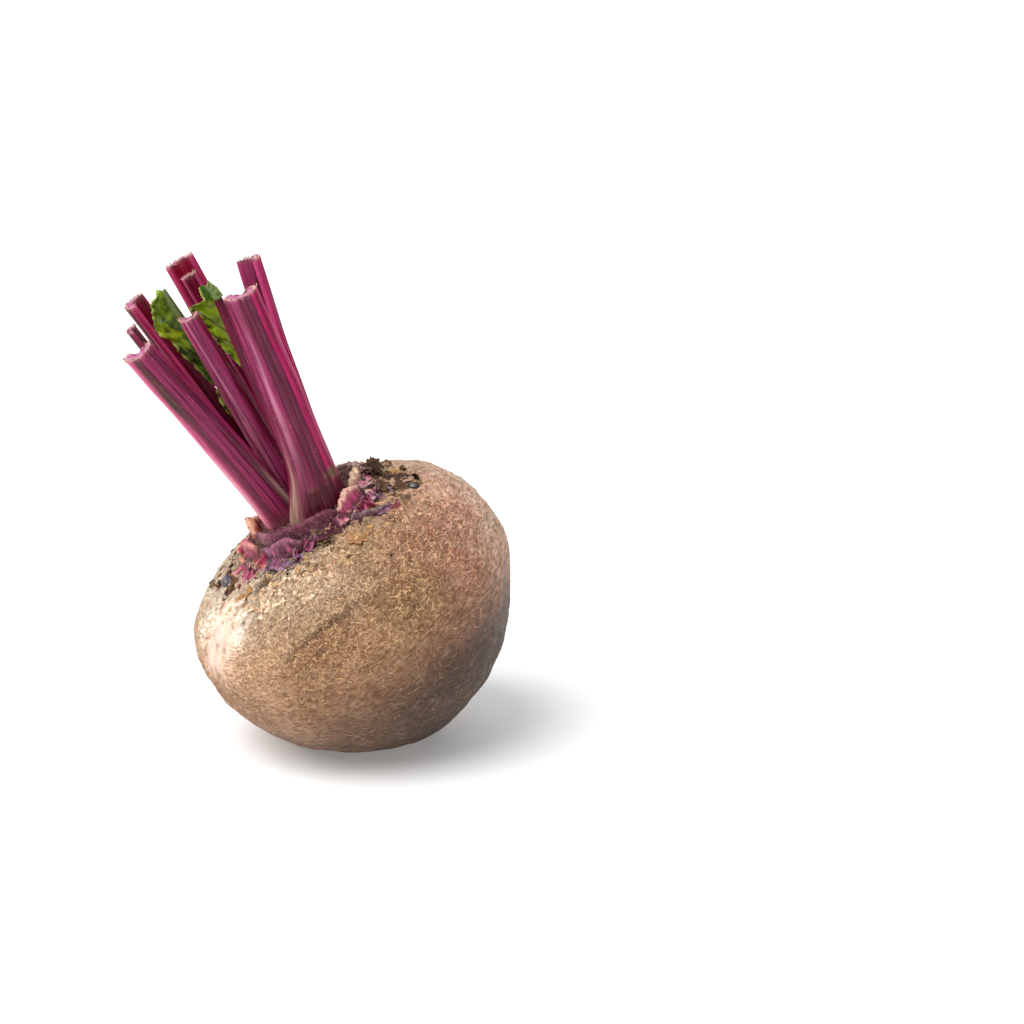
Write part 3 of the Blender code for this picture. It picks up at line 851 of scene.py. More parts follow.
def stalk_body(name, numbers, seed):
    """Rings of points along a stalk, with each point's colour and wear."""
    foot, end, foot_width, tip_width, bearing, bend = numbers
    ribs, channel = RIBS[name]
    start, middle, stop = stalk_curve(foot, end, bend)
    length = (stop - start).length
    rng = np.random.default_rng(seed)
    turn = np.linspace(0, math.pi, BACK_POINTS)
    on_back = np.concatenate([np.ones(BACK_POINTS), np.zeros(FRONT_POINTS)])
    turn_all = np.concatenate([turn, np.zeros(FRONT_POINTS)])
    front_side = np.concatenate([np.zeros(BACK_POINTS), np.linspace(-1, 1, FRONT_POINTS)])
    groove_depth = rng.uniform(0.35, 1.0, len(ribs) + 2)
    warp = rng.uniform(-0.28, 0.28, 3)
    tones = np.array([RIB_TONES[letter] for letter in ribs])
    rings, colours, wears, places = [], [], [], []
    for station in range(STALK_STATIONS):
        share = station / (STALK_STATIONS - 1)
        along = share * length
        point, slope = bezier(start, middle, stop, share)
        across, inward = stalk_frame(slope, bearing)
        width = (foot_width + (tip_width - foot_width) * share**STALK_TAPER) * MM
        width *= 1 + 0.10 * math.exp(-along / (4 * MM))
        outline = stalk_outline(FOOT_DEPTH + (TIP_DEPTH - FOOT_DEPTH) * share) * width

        phase = len(ribs) * turn_all / math.pi
        phase = phase + warp[0] * np.sin(2 * turn_all) + warp[1] * np.sin(4 * turn_all + 9 * along / length)
        phase += 0.25 * math.sin(3 * share + seed) * np.sin(turn_all)
        rib = np.clip(phase, 0, len(ribs) - 0.001)
        nearest = np.clip(np.round(phase).astype(int), 0, len(ribs))
        groove = bump(np.sin(math.pi * phase), 0, 0.34) * groove_depth[nearest] * on_back
        outward = outline - np.array((0.0, -0.2)) * width
        outward /= np.linalg.norm(outward, axis=1)[:, None]
        section = outline - outward * (0.050 * width * groove)[:, None]
        flat = np.c_[section, np.full(len(section), along)]
        fine = noise_at(flat * (1, 1, 0.03), 0.45 * MM, seed + 1)
        streak = noise_at(flat * (1, 1, 0.10), 1.7 * MM, seed + 2, 2)
        slow = noise_at(flat * (1, 1, 0.5), 9 * MM, seed + 3)
        section = section + outward * (0.010 * width * fine + 0.018 * width * slow)[:, None]

        tone = tones[rib.astype(int)]
        tone = mix(tone, RIB_TONES["R"], 0.6 * np.clip(-streak, 0, 1))
        tone = mix(tone, RIB_TONES["M"], 0.3 * np.clip(streak, 0, 1))
        # Painted shade: the grooves between the ribs are darkened.
        tone = mix(tone, paint(56, 4, 24), 0.9 * groove)
        inner = RIB_TONES[channel]
        # Painted shade: the inside of the channel is darkened.
        inner = mix(inner, paint(60, 4, 22), CHANNEL_SHADE.get(name, 0.5) + 0.5 * streak)
        rim = bump(np.abs(front_side), 0.80, 0.22) * (1 - on_back)
        inner = mix(inner, RIB_TONES["K"], 0.8 * rim)
        tone = mix(inner, tone, on_back)
        edge = (bump(turn_all, 0, 0.16) + bump(turn_all, math.pi, 0.16)) * on_back
        tone = mix(tone, RIB_TONES["B"], 0.65 * edge)
        wool = math.exp(-along / (2.6 * MM)) * np.clip(0.6 + slow, 0, 1)
        tone = tint(
            tone,
            (104, 6, 38, 0.7 * math.exp(-along / (12 * MM)) * (0.7 + 0.5 * streak)),
            # painted shade: the channel darker towards the foot
            (54, 2, 24, 0.5 * (1 - on_back) * smooth_fall(share, 0.2, 0.6)),
            (150, 120, 112, 0.4 * wool),
        )
        if name in STALK_MARKS:
            here = SimpleNamespace(
                section=section, outward=outward, turn=turn_all / math.pi, on_back=on_back, share=share,
                along=along, fine=fine, streak=streak, width=width,
            )
            tone = STALK_MARKS[name](tone, here)
            section = here.section
        tone = tone * (1 + 0.30 * fine)[:, None]
        near_cut = math.exp(-((1 - share) * length) / (0.5 * MM))
        if name not in LEAVES:
            tone = mix(tone, paint(196, 130, 140), 0.6 * near_cut * np.clip(0.7 + 0.8 * fine, 0, 1))

        ring = np.array(point) + section[:, :1] * np.array(across) + section[:, 1:] * np.array(inward)
        level = smooth_fall(share, 0.0, 0.16)
        ring += np.array(slope) * ((point.z - ring[:, 2]) / slope.z * level)[:, None]
        rings.append(ring)
        colours.append(tone)
        wears.append(np.clip(wool + near_cut, 0, 1))
        places.append(flat + (seed * MM * 40, 0, 0))
    frame_at_tip = (np.array(point), np.array(across), np.array(inward), np.array(slope), section, width)
    return np.array(rings), np.array(colours), np.array(wears), np.array(places), frame_at_tip


# What sets single stalks apart. here is one ring: its outline (section) with the ways out of it, each
# point's turn round the back (0 to 1), whether it is on the back, and its noises. share and along say
# how far up the ring is. Each function returns the new tone.


def mark_front_right(tone, here):
    """A painted pink highlight up its left third, the woolly cream foot and the brown peeled patch at its lower
    right.
    """
    turn, on_back, share, along = here.turn, here.on_back, here.share, here.along
    fine, streak = here.fine, here.streak
    # Painted highlight: a pink lit ridge up the left third.
    painted_highlight_stripe = bump(share, 0.50, 0.34) * bump(turn + 0.01 * streak, 0.33, 0.035) * on_back
    centre = 0.17 - 0.03 * math.exp(-share / 0.05)
    half_width = 0.055 + 0.05 * math.exp(-share / 0.04)
    woolly = bump(share, 0, 0.22) * bump(turn + 0.01 * streak, centre, half_width) * on_back
    dull = smooth_fall(share, 0.16, 0.48) * bump(turn, 0.38, 0.15) * on_back
    tone = tint(
        tone,
        (204, 134, 158, 0.75 * painted_highlight_stripe),
        (190, 164, 134, 0.9 * woolly * np.clip(0.9 + 0.3 * fine, 0, 1)),
        (88, 18, 50, 0.62 * dull),
    )
    torn = 0.35 * fine + 0.25 * streak
    patch = bump(turn, 0.76, 0.13) * bump(along, 10.6 * MM, 1.5 * MM) * on_back
    crack = bump(turn, 0.50, 0.24) * bump(along, 8.4 * MM, 0.4 * MM) * on_back
    patch = 1 - smooth_fall(patch + 0.8 * crack + torn * (patch + crack > 0.1), 0.30, 0.48)
    tone = mix(tone, mix(paint(58, 32, 34), paint(120, 88, 66), 0.5 + 0.9 * fine), patch)
    dark = smooth_fall(along, 6.5 * MM, 9.5 * MM) * (1 - smooth_fall(turn, 0.24, 0.36)) * on_back
    wrinkle = bump(np.sin(turn * 60 + 2 * streak), 0, 0.4) * dark
    tone = tint(tone, (64, 0, 22, 0.92 * dark), (132, 44, 66, 0.35 * wrinkle))
    section = here.section + here.outward * (0.35 * MM * patch * (0.5 + fine))[:, None]
    skirt = np.clip(section[:, 0] / here.width + 0.1, 0, 1) ** 1.5 * bump(along, 0, 9 * MM)
    section[:, 0] += 10.5 * MM * skirt
    here.section = section
    return tone


def mark_front_left(tone, here):
    """The pink lit left edge and the olive stain near the cut."""
    turn, on_back, share = here.turn, here.on_back, here.share
    low = smooth_fall(share, 0.25, 0.6)
    stain = bump(share, 0.80, 0.17) * bump(turn, 0.40, 0.08) * on_back
    pale = bump(share, 0.10, 0.16) * bump(turn, 0.86, 0.05) * on_back
    return tint(
        tone,
        (232, 96, 142, 0.95 * np.exp(-((turn / 0.33) ** 4)) * on_back),
        (236, 160, 172, 0.8 * low * bump(turn, 0.22, 0.08) * on_back),
        (66, 58, 42, np.clip(1.5 * stain * (0.8 + 0.5 * here.streak), 0, 0.94)),
        (190, 168, 148, 0.9 * pale),
    )


def mark_back_middle(tone, here):
    """Red inside its channel near the cut."""
    red = (1 - here.on_back) * bump(here.share, 1, 0.25)
    return tint(tone, (150, 10, 44, 0.7 * red * (0.7 + 0.5 * here.streak)))


def mark_leaf_left(tone, here):
    """Pale green towards the tip."""
    return tint(tone, (112, 126, 84, 1 - smooth_fall(here.share, 0.62, 0.82)))


STALK_MARKS = {
    "leaf_left": mark_leaf_left,
    "stalk_front_right": mark_front_right,
    "stalk_front_left": mark_front_left,
    "stalk_back_middle": mark_back_middle,
}


# The cut's rings from its rim inwards: share of the outline, height in millimetres.
CUT_RINGS = [
    (1.0, 0.0), (0.965, 0.22), (0.90, 0.12), (0.78, -0.20), (0.60, -0.12), (0.40, -0.24), (0.18, -0.16),
]
CUT_STRINGS = 46


def add_cut(shell, tip, rng, seed, green=False):
    """The cut face: a ragged pale rim round pulpy flesh, and torn strings standing on the rim."""
    point, across, inward, slope, section, width = tip
    middle = np.array((0.0, -0.24)) * width
    count = len(section)
    rings, tones = [], []
    for factor, height in CUT_RINGS:
        flat = middle + (section - middle) * factor
        place = point + flat[:, :1] * across + flat[:, 1:] * inward
        rough = noise_at(place, 0.9 * MM, seed, 2)
        coarse = noise_at(place, 3.0 * MM, seed + 1)
        lift = (height + (0.26 * rough + 0.22 * coarse) * (factor < 1)) * MM
        rings.append(place + slope * lift[:, None])
        pale = smooth_fall(1 - factor, 0.04, 0.14)
        flesh = mix(paint(196, 140, 166), paint(146, 60, 106), 0.45 + 0.8 * rough)
        flesh = tint(flesh, (218, 188, 164, 0.9 * pale)) * (1 + 0.16 * rough)[:, None]
        tones.append(np.tile(paint(104, 116, 66), (count, 1)) if green else flesh)
    centre = point + middle[0] * across + middle[1] * inward
    points = np.vstack([*rings, centre[None]])
    faces = ring_faces(len(rings), count)
    last = (len(rings) - 1) * count
    faces += [(last + i, last + (i + 1) % count, len(points) - 1) for i in range(count)]
    tones = np.vstack([*tones, paint(190, 130, 155)[None]])
    start = shell.count - count  # the last ring of the sides is this cut's first ring
    shell.add(points[count:], [], tones[count:], 1.0)
    shell.faces += [tuple(start + index for index in face) for face in faces]
    shell.slots += [0] * len(faces)

    if green:
        return
    picked = section[rng.integers(0, count, CUT_STRINGS)] * 0.98
    base = point + picked[:, :1] * across + picked[:, 1:] * inward
    lean = rng.normal(0, 0.45, (CUT_STRINGS, 2))
    reach = rng.uniform(0.25, 1.0, CUT_STRINGS)[:, None] * MM
    tip_place = base + (slope + lean[:, :1] * across + lean[:, 1:] * inward) * reach
    paths = np.stack([base - slope * 0.3 * MM, (base + tip_place) / 2, tip_place], 1)
    radii = rng.uniform(0.07, 0.16, (CUT_STRINGS, 1)) * MM * np.array([1.0, 0.8, 0.25])
    tube_points, tube_faces = tubes(paths, across, radii)
    shade = mix(paint(220, 188, 166), paint(150, 60, 90), rng.uniform(0, 0.9, CUT_STRINGS))
    shell.add(tube_points, tube_faces, np.repeat(shade, 9, axis=0), 1.0)


def add_stalk(shell, name, numbers, seed):
    """A whole stalk: a closed foot, the ribbed sides and the cut."""
    rings, tones, wears, places, tip = stalk_body(name, numbers, seed)
    count = rings.shape[1]
    faces = ring_faces(len(rings), count)
    middle = rings[0].mean(0)
    shell.add(middle[None], [], tones[0].mean(0), 1.0)
    shell.add(rings.reshape(-1, 3), faces, tones.reshape(-1, 3), wears.reshape(-1), places=places)
    shell.faces += [(1 + (i + 1) % count, 1 + i, 0) for i in range(count)]
    shell.slots += [0] * count
    add_cut(shell, tip, np.random.default_rng(seed + 50), seed, name in LEAVES)


def add_stalks(material):
    """The eight cut stalks, each its own piece."""
    for seed, (name, numbers) in enumerate(STALKS.items(), start=3):
        shell = Shell()
        add_stalk(shell, name, numbers, seed)
        shell.build(name + "_ribbed", [material], "stalk_skin", name)


# ---------------------------------------------------------------- leaves

BLADE_ROWS = 150
BLADE_COLUMNS = 26
BLADE_THICKNESS = 0.5 * MM
FOLD_SIDE = 30
LEAF_WAY = Vector((-0.87, 0.03, 0.49)).normalized()  # the blades reach this way from their stalks
# How far each blade reaches in millimetres, at shares of its stalk's length.
BLADE_REACH = {
    "leaf_left": [
        (0.34, 0.8), (0.37, 3.6), (0.42, 4.7), (0.50, 4.4), (0.53, 3.6), (0.56, 3.2), (0.60, 4.4), (0.66, 5.6),
        (0.70, 6.2), (0.75, 6.9), (0.82, 9.2), (0.88, 7.6), (0.94, 5.8), (0.985, 2.6), (1.0, 1.2),
    ],
    "leaf_right": [
        (0.60, 0.5), (0.65, 1.0), (0.70, 2.8), (0.78, 5.2), (0.86, 7.4), (0.92, 8.4), (0.95, 4.2), (0.965, 1.4),
    ],
}
# The folded top of the right leaf: its corners at the bottom left and right, and at the top left and right.
FOLD_CORNERS = ((11.2, -1.9, 100.1), (15.9, -3.2, 98.9), (11.0, -2.6, 104.0), (15.8, -3.0, 104.6))


# How much slimmer than its solid each leaf's stalk ends.
TIP_SLIMNESS = {"leaf_left": 0.5, "leaf_right": 0.85}


def blade_grid(name, stalk, seed):
    """The blade's middle surface and its marks: ruffled towards a toothed margin."""
    foot, end, *_, bend = stalk
    start, middle, stop = stalk_curve(foot, end, bend)
    shares, reaches = zip(*BLADE_REACH[name])
    grid, marks = [], []
    for row in range(BLADE_ROWS):
        along = row / (BLADE_ROWS - 1)
        share = shares[0] + (shares[-1] - shares[0]) * along
        point, slope = bezier(start, middle, stop, share)
        reach = np.interp(share, shares, reaches)
        teeth = abs(math.sin(along * 70 + 2 * math.sin(along * 9)))
        tooth = 0.45 * teeth + 0.35 * wobble(along * 40, seed, 0)
        sway = slope.cross(LEAF_WAY)
        for column in range(BLADE_COLUMNS):
            side = column / (BLADE_COLUMNS - 1)
            edge = smooth_fall(1 - side, 0.0, 0.14)
            ripple = 0.6 * math.sin(along * 34 + 1.5 * side) + 0.8 * wobble(along * 14, side * 3, seed)
            ripple = ripple * side**1.4 + 0.5 * math.sin(along * 75) * side**5
            out = reach * side + tooth * edge
            grid.append(point + (LEAF_WAY * out + sway * (1.5 * ripple - 0.5 * side)) * MM)
            marks.append((share, side))
    return np.array(grid).reshape(BLADE_ROWS, BLADE_COLUMNS, 3), np.array(marks)


def blade_tones(name, marks, seed):
    """Dark green inside, yellow-green on the ruffled margin, with paler veins."""
    share, side = marks.T
    spots = noise_at(np.c_[share * 60, side * 8, side * 0 + seed], 1.6, seed, 2)
    tone = mix(paint(26, 38, 2), paint(70, 88, 2), 0.15 + 0.4 * side + 0.5 * spots)
    if name == "leaf_left":
        upper = smooth_fall(-share, -0.78, -0.72)
        reach = bump(share, 0.80, 0.04) + 0.25 * (share < 0.50)
        ruffle = np.clip(reach * (1 - smooth_fall(side + 0.15 * spots, 0.40, 0.55)), 0, 1)
        tone = tint(
            tone,
            (104, 132, 6, upper * np.clip(0.6 + 0.5 * spots - 0.2 * side, 0, 1)),
            (156, 172, 0, 0.95 * ruffle * np.clip(0.8 + 0.6 * spots, 0, 1)),
            (128, 140, 92, 0.9 * bump(side, 0, 0.16) * (share > 0.8)),
        )
    else:
        tone = tint(
            tone,
            (124, 150, 0, 0.9 * (1 - smooth_fall(share, 0.64, 0.70)) * (0.8 + 0.3 * spots)),
            (58, 50, 20, 0.8 * smooth_fall(share, 0.60, 0.67)),
        )
        for lean, start, width in ((0.13, 0.80, 0.010), (0.05, 0.755, 0.005), (0.10, 0.70, 0.004)):
            tone = tint(tone, (66, 14, 32, 0.95 * bump(share, start + side**1.3 * lean, width)))
        tone = tint(tone, (110, 50, 50, 0.8 * (share > 0.955)))
    margin = 1 - smooth_fall(side, 0.90, 0.99)
    veins = bump(np.sin(share * 46 - side * 2.6), 0, 0.10) * (1 - 0.8 * side)
    return tint(
        tone, (168, 176, 84, 0.75 * margin * np.clip(0.7 + spots, 0, 1)), (90, 116, 30, 0.2 * veins)
    )


def fold_grid(seed):
    """The right leaf's folded top: dark green on the left, the pale underside on the right."""
    low_left, low_right, top_left, top_right = (np.array(corner) * MM for corner in FOLD_CORNERS)
    grid, tones = [], []
    for row in range(FOLD_SIDE):
        v = row / (FOLD_SIDE - 1)
        for column in range(FOLD_SIDE):
            u = column / (FOLD_SIDE - 1)
            low = low_left + (low_right - low_left) * u
            high = top_left + (top_right - top_left) * u
            point = low + (high - low) * v
            bulge = 1.3 * bump(u, 0.5, 0.22) + 0.5 * wobble(u * 4, v * 4, seed)
            tooth = 0.5 * abs(math.sin(v * 14)) * smooth_fall(u, 0.0, 0.16)
            narrow = (u - 0.45) * -1.9 * v * v
            grid.append(point + np.array((narrow - tooth, -bulge, 0.35 * math.sin(u * 7))) * MM)
            rough = wobble(u * 9, v * 9, 4)
            pale = 1 - smooth_fall(u + 0.05 * rough, 0.42, 0.54)
            green = paint(46, 76, 6) * (1 + 0.5 * rough)
            tone = green * (1 - pale) + paint(118, 136, 80) * (1 + 0.3 * rough) * pale
            margin = smooth_fall(u, 0.02, 0.10)
            tones.append(tone * (1 - margin) + paint(176, 182, 96) * margin)
    return np.array(grid).reshape(FOLD_SIDE, FOLD_SIDE, 3), np.array(tones)


def add_leaves(stalk_look, blade_look):
    """The two young leaves: a slim stalk each with a blade, and the right one's folded top."""
    for seed, (name, stalk) in enumerate(LEAVES.items(), start=31):
        foot, end, foot_width, width, bearing, bend = stalk
        slim = (foot, end, foot_width, width * TIP_SLIMNESS[name], bearing, bend)
        shell = Shell()
        add_stalk(shell, name, slim, seed)
        grid, marks = blade_grid(name, stalk, seed)
        points, faces = slab(grid, BLADE_THICKNESS)
        tone = blade_tones(name, marks, seed)
        underside = tint(tone, (110, 130, 60, 0.15))
        shell.add(points, faces, np.vstack([tone, underside]), slot=1)
        if name == "leaf_right":
            grid, tone = fold_grid(seed)
            points, faces = slab(grid, BLADE_THICKNESS)
            shell.add(points, faces, np.vstack([tone, tone]), slot=1)
        shell.build(name + "_ruffled", [stalk_look, blade_look], "leaf_green", name)


# ---------------------------------------------------------------- the crown

BASE_STATIONS = 110
BASE_POINTS = 24
BASE_SINK = 0.5 * MM  # how deep the feet stand in the skin
SMOOTH_REACH = 10  # stations on each side that a level rim is smoothed over
SMOOTH_SPAN = 2 * SMOOTH_REACH + 1
# The tones of each torn base: rim, face, and the darker lines down the face.
BASE_TONES = {
    "leaf_base_band": ((104, 42, 62), (84, 20, 42), (54, 8, 26)),
    "leaf_base_right": ((218, 172, 150), (178, 64, 104), (112, 26, 66)),
    "leaf_base_far_right": ((224, 196, 158), (214, 176, 150), (170, 84, 104)),
    "leaf_base_left": ((232, 180, 146), (208, 116, 90), (150, 56, 62)),
    "leaf_base_far_left": ((210, 170, 150), (178, 70, 104), (112, 40, 70)),
    "leaf_base_back": ((206, 180, 160), (168, 70, 106), (104, 36, 66)),
    "leaf_base_back_right": ((180, 150, 136), (140, 66, 88), (92, 46, 60)),
    "leaf_base_low_front": ((140, 84, 106), (92, 40, 62), (60, 8, 30)),
    "leaf_base_low_left": ((206, 136, 126), (170, 66, 92), (112, 28, 52)),
    "leaf_base_low_right": ((116, 96, 100), (88, 52, 62), (62, 28, 34)),
    "leaf_base_low_back": ((190, 150, 150), (150, 70, 96), (100, 44, 62)),
}
# The low front base's scales from left to right: shares of its length with their tones.
LOW_FRONT_SCALES = [
    (0.00, 128, 100, 112), (0.34, 112, 72, 96), (0.39, 214, 108, 144), (0.44, 112, 48, 76),
    (0.72, 96, 30, 56), (0.76, 190, 88, 124), (0.81, 70, 8, 30), (1.00, 58, 6, 24),
]
# How wavy and torn each rim is. The others are 1.
RAGGED = {"leaf_base_band": 0.18, "leaf_base_low_front": 0.3}
# How much lower than its solid a rim has settled.
SETTLED = {"leaf_base_left": 0.78, "leaf_base_back_right": 0.6, "leaf_base_low_front": 0.85}


def seat(skin, x, y):
    """The skin's point straight below or above a place on the crown, and its normal there."""
    hit, normal, _, _ = skin.ray_cast(Vector((x, y, 2 * ROOT_RADIUS)), Vector((0, 0, -1)))
    return hit, normal


def around_crown(bearing, distance):
    """A place at a bearing in radians and a distance in metres from the crown's centre."""
    return CROWN_CENTRE + distance * np.array((math.cos(bearing), math.sin(bearing)))


def add_base(skin, name, numbers, seed, material):
    """A torn base: a low folded wall with a ragged, woolly rim."""
    begin, end, near_distance, far_distance, thickness, height = numbers
    rim_tone, face_tone, line_tone = (paint(*tone) for tone in BASE_TONES[name])
    ragged = RAGGED.get(name, 1.0)
    is_band, is_low_front = name == "leaf_base_band", name == "leaf_base_low_front"
    shares = np.linspace(0, 1, BASE_STATIONS)
    turns = np.radians(begin + (end - begin) * shares)
    distances = near_distance + (far_distance - near_distance) * shares

    # The smoothed height of the skin along the base, for the rims that run level.
    levels = []
    for turn, distance in zip(turns, distances):
        feet = [around_crown(turn, (distance + side * thickness / 2) * MM) for side in (-1, 1)]
        levels.append(max(seat(skin, *place)[0].z for place in feet) - BASE_SINK)
    levels = np.pad(levels, SMOOTH_REACH, "edge")
    levels = np.convolve(levels, np.full(SMOOTH_SPAN, 1 / SMOOTH_SPAN), "valid")

    rings, tones, wears = [], [], []
    for share, turn, distance, level in zip(shares, turns, distances, levels):
        swell = math.sqrt(1 - (0.97 * (2 * share - 1)) ** 2)
        half = thickness * (0.35 + 0.65 * swell) / 2
        run = turn * distance
        fold = wobble(run / 4.2, seed, 0) * ragged
        tear = wobble(run / 1.6, seed, 5) * ragged
        slow = wobble(run / 6.0, seed, 9) * (0.2 + 0.8 * ragged)
        top = height * SETTLED.get(name, 1.0) * (0.3 + 0.7 * swell) * (1 + 0.40 * slow + 0.24 * tear) * MM
        distance += 0.25 * fold + 0.5 * slow
        places = [around_crown(turn, (distance + side * half) * MM) for side in (-1, 0, 1)]
        feet = [seat(skin, *place)[0].z - BASE_SINK for place in places]
        crest = ragged * max(feet) + (1 - ragged) * level + top
        lean = 0.45 + 0.5 * fold
        profile = (  # how far across, and how high
            (0, feet[0]),
            (0, feet[0] + 0.6 * top),
            (0.30 + 0.2 * lean, crest),
            (0.62 + 0.3 * lean, crest - 0.08 * top),
            (0.92 + 0.05 * fold, crest - 0.38 * top),
            (1.04, feet[2] + 0.30 * top),
            (1, feet[2]),
        )
        inner, _, outer = places
        ring = smooth_through([(*(inner + (outer - inner) * part), z) for part, z in profile], BASE_POINTS)
        rough = noise_at(ring * (1, 1, 0.4), 1.0 * MM, seed, 2)
        place_up = np.clip((ring[:, 2] - feet[2]) / (crest - feet[2] + 1e-9), 0, 1.2)
        out_way = np.array((math.cos(turn), math.sin(turn), 0.3))
        ring = ring + out_way * ((0.03 + 0.17 * ragged) * MM * rough * (0.3 + place_up))[:, None]

        lines = wobble(run / (2.2 if is_low_front else 0.8), seed, 2)
        tone = mix(face_tone, line_tone, 0.35 + 0.7 * lines + 0.4 * rough)
        if is_low_front:
            stops, *channels = np.array([(stop, *paint(*scale)) for stop, *scale in LOW_FRONT_SCALES]).T
            scale = np.array([np.interp(share, stops, channel) for channel in channels])
            tone = mix(tone, scale, 0.85)
        rim = 1 - smooth_fall(place_up, 0.62, 0.95)
        tone = mix(tone, rim_tone, rim * (0.85 + 0.3 * rough))
        if is_band:
            tone = tint(tone, (208, 144, 154, smooth_fall(share, 0.12, 0.46) * (0.65 + 0.4 * rough)))
        # Painted shade: each wall darker at its foot, where it meets the skin.
        tone = tint(tone, (62, 34, 34, 0.8 * smooth_fall(place_up, 0.02, 0.34)))
        rings.append(ring)
        tones.append(tone * (1 + 0.12 * rough)[:, None])
        wears.append(np.ones(BASE_POINTS) if is_band else np.clip(0.25 + rim + 0.3 * rough, 0, 1))
    faces = ring_faces(BASE_STATIONS, BASE_POINTS)
    last = (BASE_STATIONS - 1) * BASE_POINTS
    faces += [tuple(range(BASE_POINTS)), tuple(range(last + BASE_POINTS - 1, last - 1, -1))]
    shell = Shell()
    shell.add(rings, faces, np.vstack(tones), np.concatenate(wears))
    shell.build(name + "_torn", [material], "leaf_base_skin", name)
    return rings


BAND_HAIRS = 900
BASE_HAIRS = 90


def add_fuzz(rims, material):
    """Short woolly hairs along the torn rims."""
    rng = np.random.default_rng(71)
    paths, shades = [], []
    for name, rings in rims.items():
        tone = paint(*BASE_TONES[name][0])
        for _ in range(BAND_HAIRS if name == "leaf_base_band" else BASE_HAIRS):
            ring = rings[rng.integers(2, len(rings) - 2)]
            place = ring[rng.integers(5, BASE_POINTS - 6)]
            out = np.array((place[0] - CROWN_CENTRE[0], place[1] - CROWN_CENTRE[1], 0.0))
            out /= np.linalg.norm(out)
            way = out * rng.uniform(-0.2, 1.0) + (0, 0, rng.uniform(0.2, 1.0)) + rng.normal(0, 0.55, 3)
            way *= rng.uniform(0.2, 0.7) * MM / np.linalg.norm(way)
            bend = rng.normal(0, 0.15, 3) * MM
            paths.append([place - way * 0.2, place + way * 0.5 + bend, place + way])
            shades.append(mix(tone, paint(214, 176, 188), rng.uniform(0, 0.85) ** 3))
    paths = np.array(paths)
    radii = rng.uniform(0.03, 0.055, (len(paths), 1)) * MM * np.array([1.0, 0.8, 0.3])
    points, faces = tubes(paths, (0.3, 0.9, 0.1), radii)
    shell = Shell()
    shell.add(points, faces, np.repeat(np.vstack(shades), 9, axis=0), 1.0)
    shell.build("crown_fuzz", [material], "leaf_base_skin", tidy_normals=False)


def add_flake(shell, skin, place, size, rng, tone, tilt, lift, curl, crumple):
    """A dry flake of a tone on the skin near a place, tilted at random."""
    hit, normal, _, _ = skin.find_nearest(Vector(place))
    turn = Matrix.Rotation(rng.uniform(0, 2 * math.pi), 3, normal)
    right = turn @ normal.orthogonal().normalized()
    forward = normal.cross(right)
    lean = Matrix.Rotation(rng.normal(0, tilt), 3, forward)
    right, normal = lean @ right, lean @ normal
    forward = forward * size * rng.uniform(0.45, 0.9)
    curl *= rng.uniform(0.3, 1.3)
    seed = int(rng.integers(1, 900))
    centre, right, forward = np.array(hit + normal * lift), np.array(right * size), np.array(forward)
    points, faces, reach = disc(5, 20, centre, right, forward, curl, crumple, seed, 0.35 * MM)
    tone = paint(*tone)
    shade = mix(tone, tone * 0.55, 0.4 + 0.9 * noise_at(points, 1.5 * MM, 8))
    # Painted highlight: each flake lighter towards its rim.
    shell.add(points, faces, mix(shade, tone * 1.5, 0.6 * np.clip(reach - 0.75, 0, 1) / 0.25), 1.0)


SCRAP_TONES = [(146, 106, 74), (104, 74, 54), (196, 154, 108), (150, 112, 80), (66, 48, 38)]
SCRAP_FLAKES = {"dry_scrap_upper": 22, "dry_scrap_right": 18, "dry_scrap_back": 18}


def add_scraps(skin, material):
    """Dried scraps of old leaves: a heap of crumpled flakes each."""
    for seed, (name, (bearing, distance, length, width, height)) in enumerate(SCRAPS.items(), start=81):
        rng = np.random.default_rng(seed)
        shell = Shell()
        turn = math.radians(bearing)
        along = np.array((-math.sin(turn), math.cos(turn)))
        for index in range(SCRAP_FLAKES[name]):
            spot = around_crown(turn, (distance + rng.normal(0, width * 0.45)) * MM)
            hit, _ = seat(skin, *(spot + along * rng.normal(0, length * 0.42) * MM))
            rise = rng.uniform(0.0, 0.36) * height * MM
            size = rng.uniform(1.3, 2.5) * MM
            tone = SCRAP_TONES[index % len(SCRAP_TONES)]
            place = hit + Vector((0, 0, rise))
            add_flake(shell, skin, place, size, rng, tone, 0.6, 0.1 * MM + rise, 0.6, 0.3)
        shell.build(name + "_crumpled", [material], "dry_husk", name)


BUD_TONES = {
    "dead_bud_left": ((118, 112, 126), (60, 52, 62)),
    "dead_bud_right": ((52, 40, 36), (20, 15, 15)),
}
BUD_HUSKS = [(92, 66, 48), (150, 112, 72), (56, 40, 32)]
BUD_FLAKES = 9


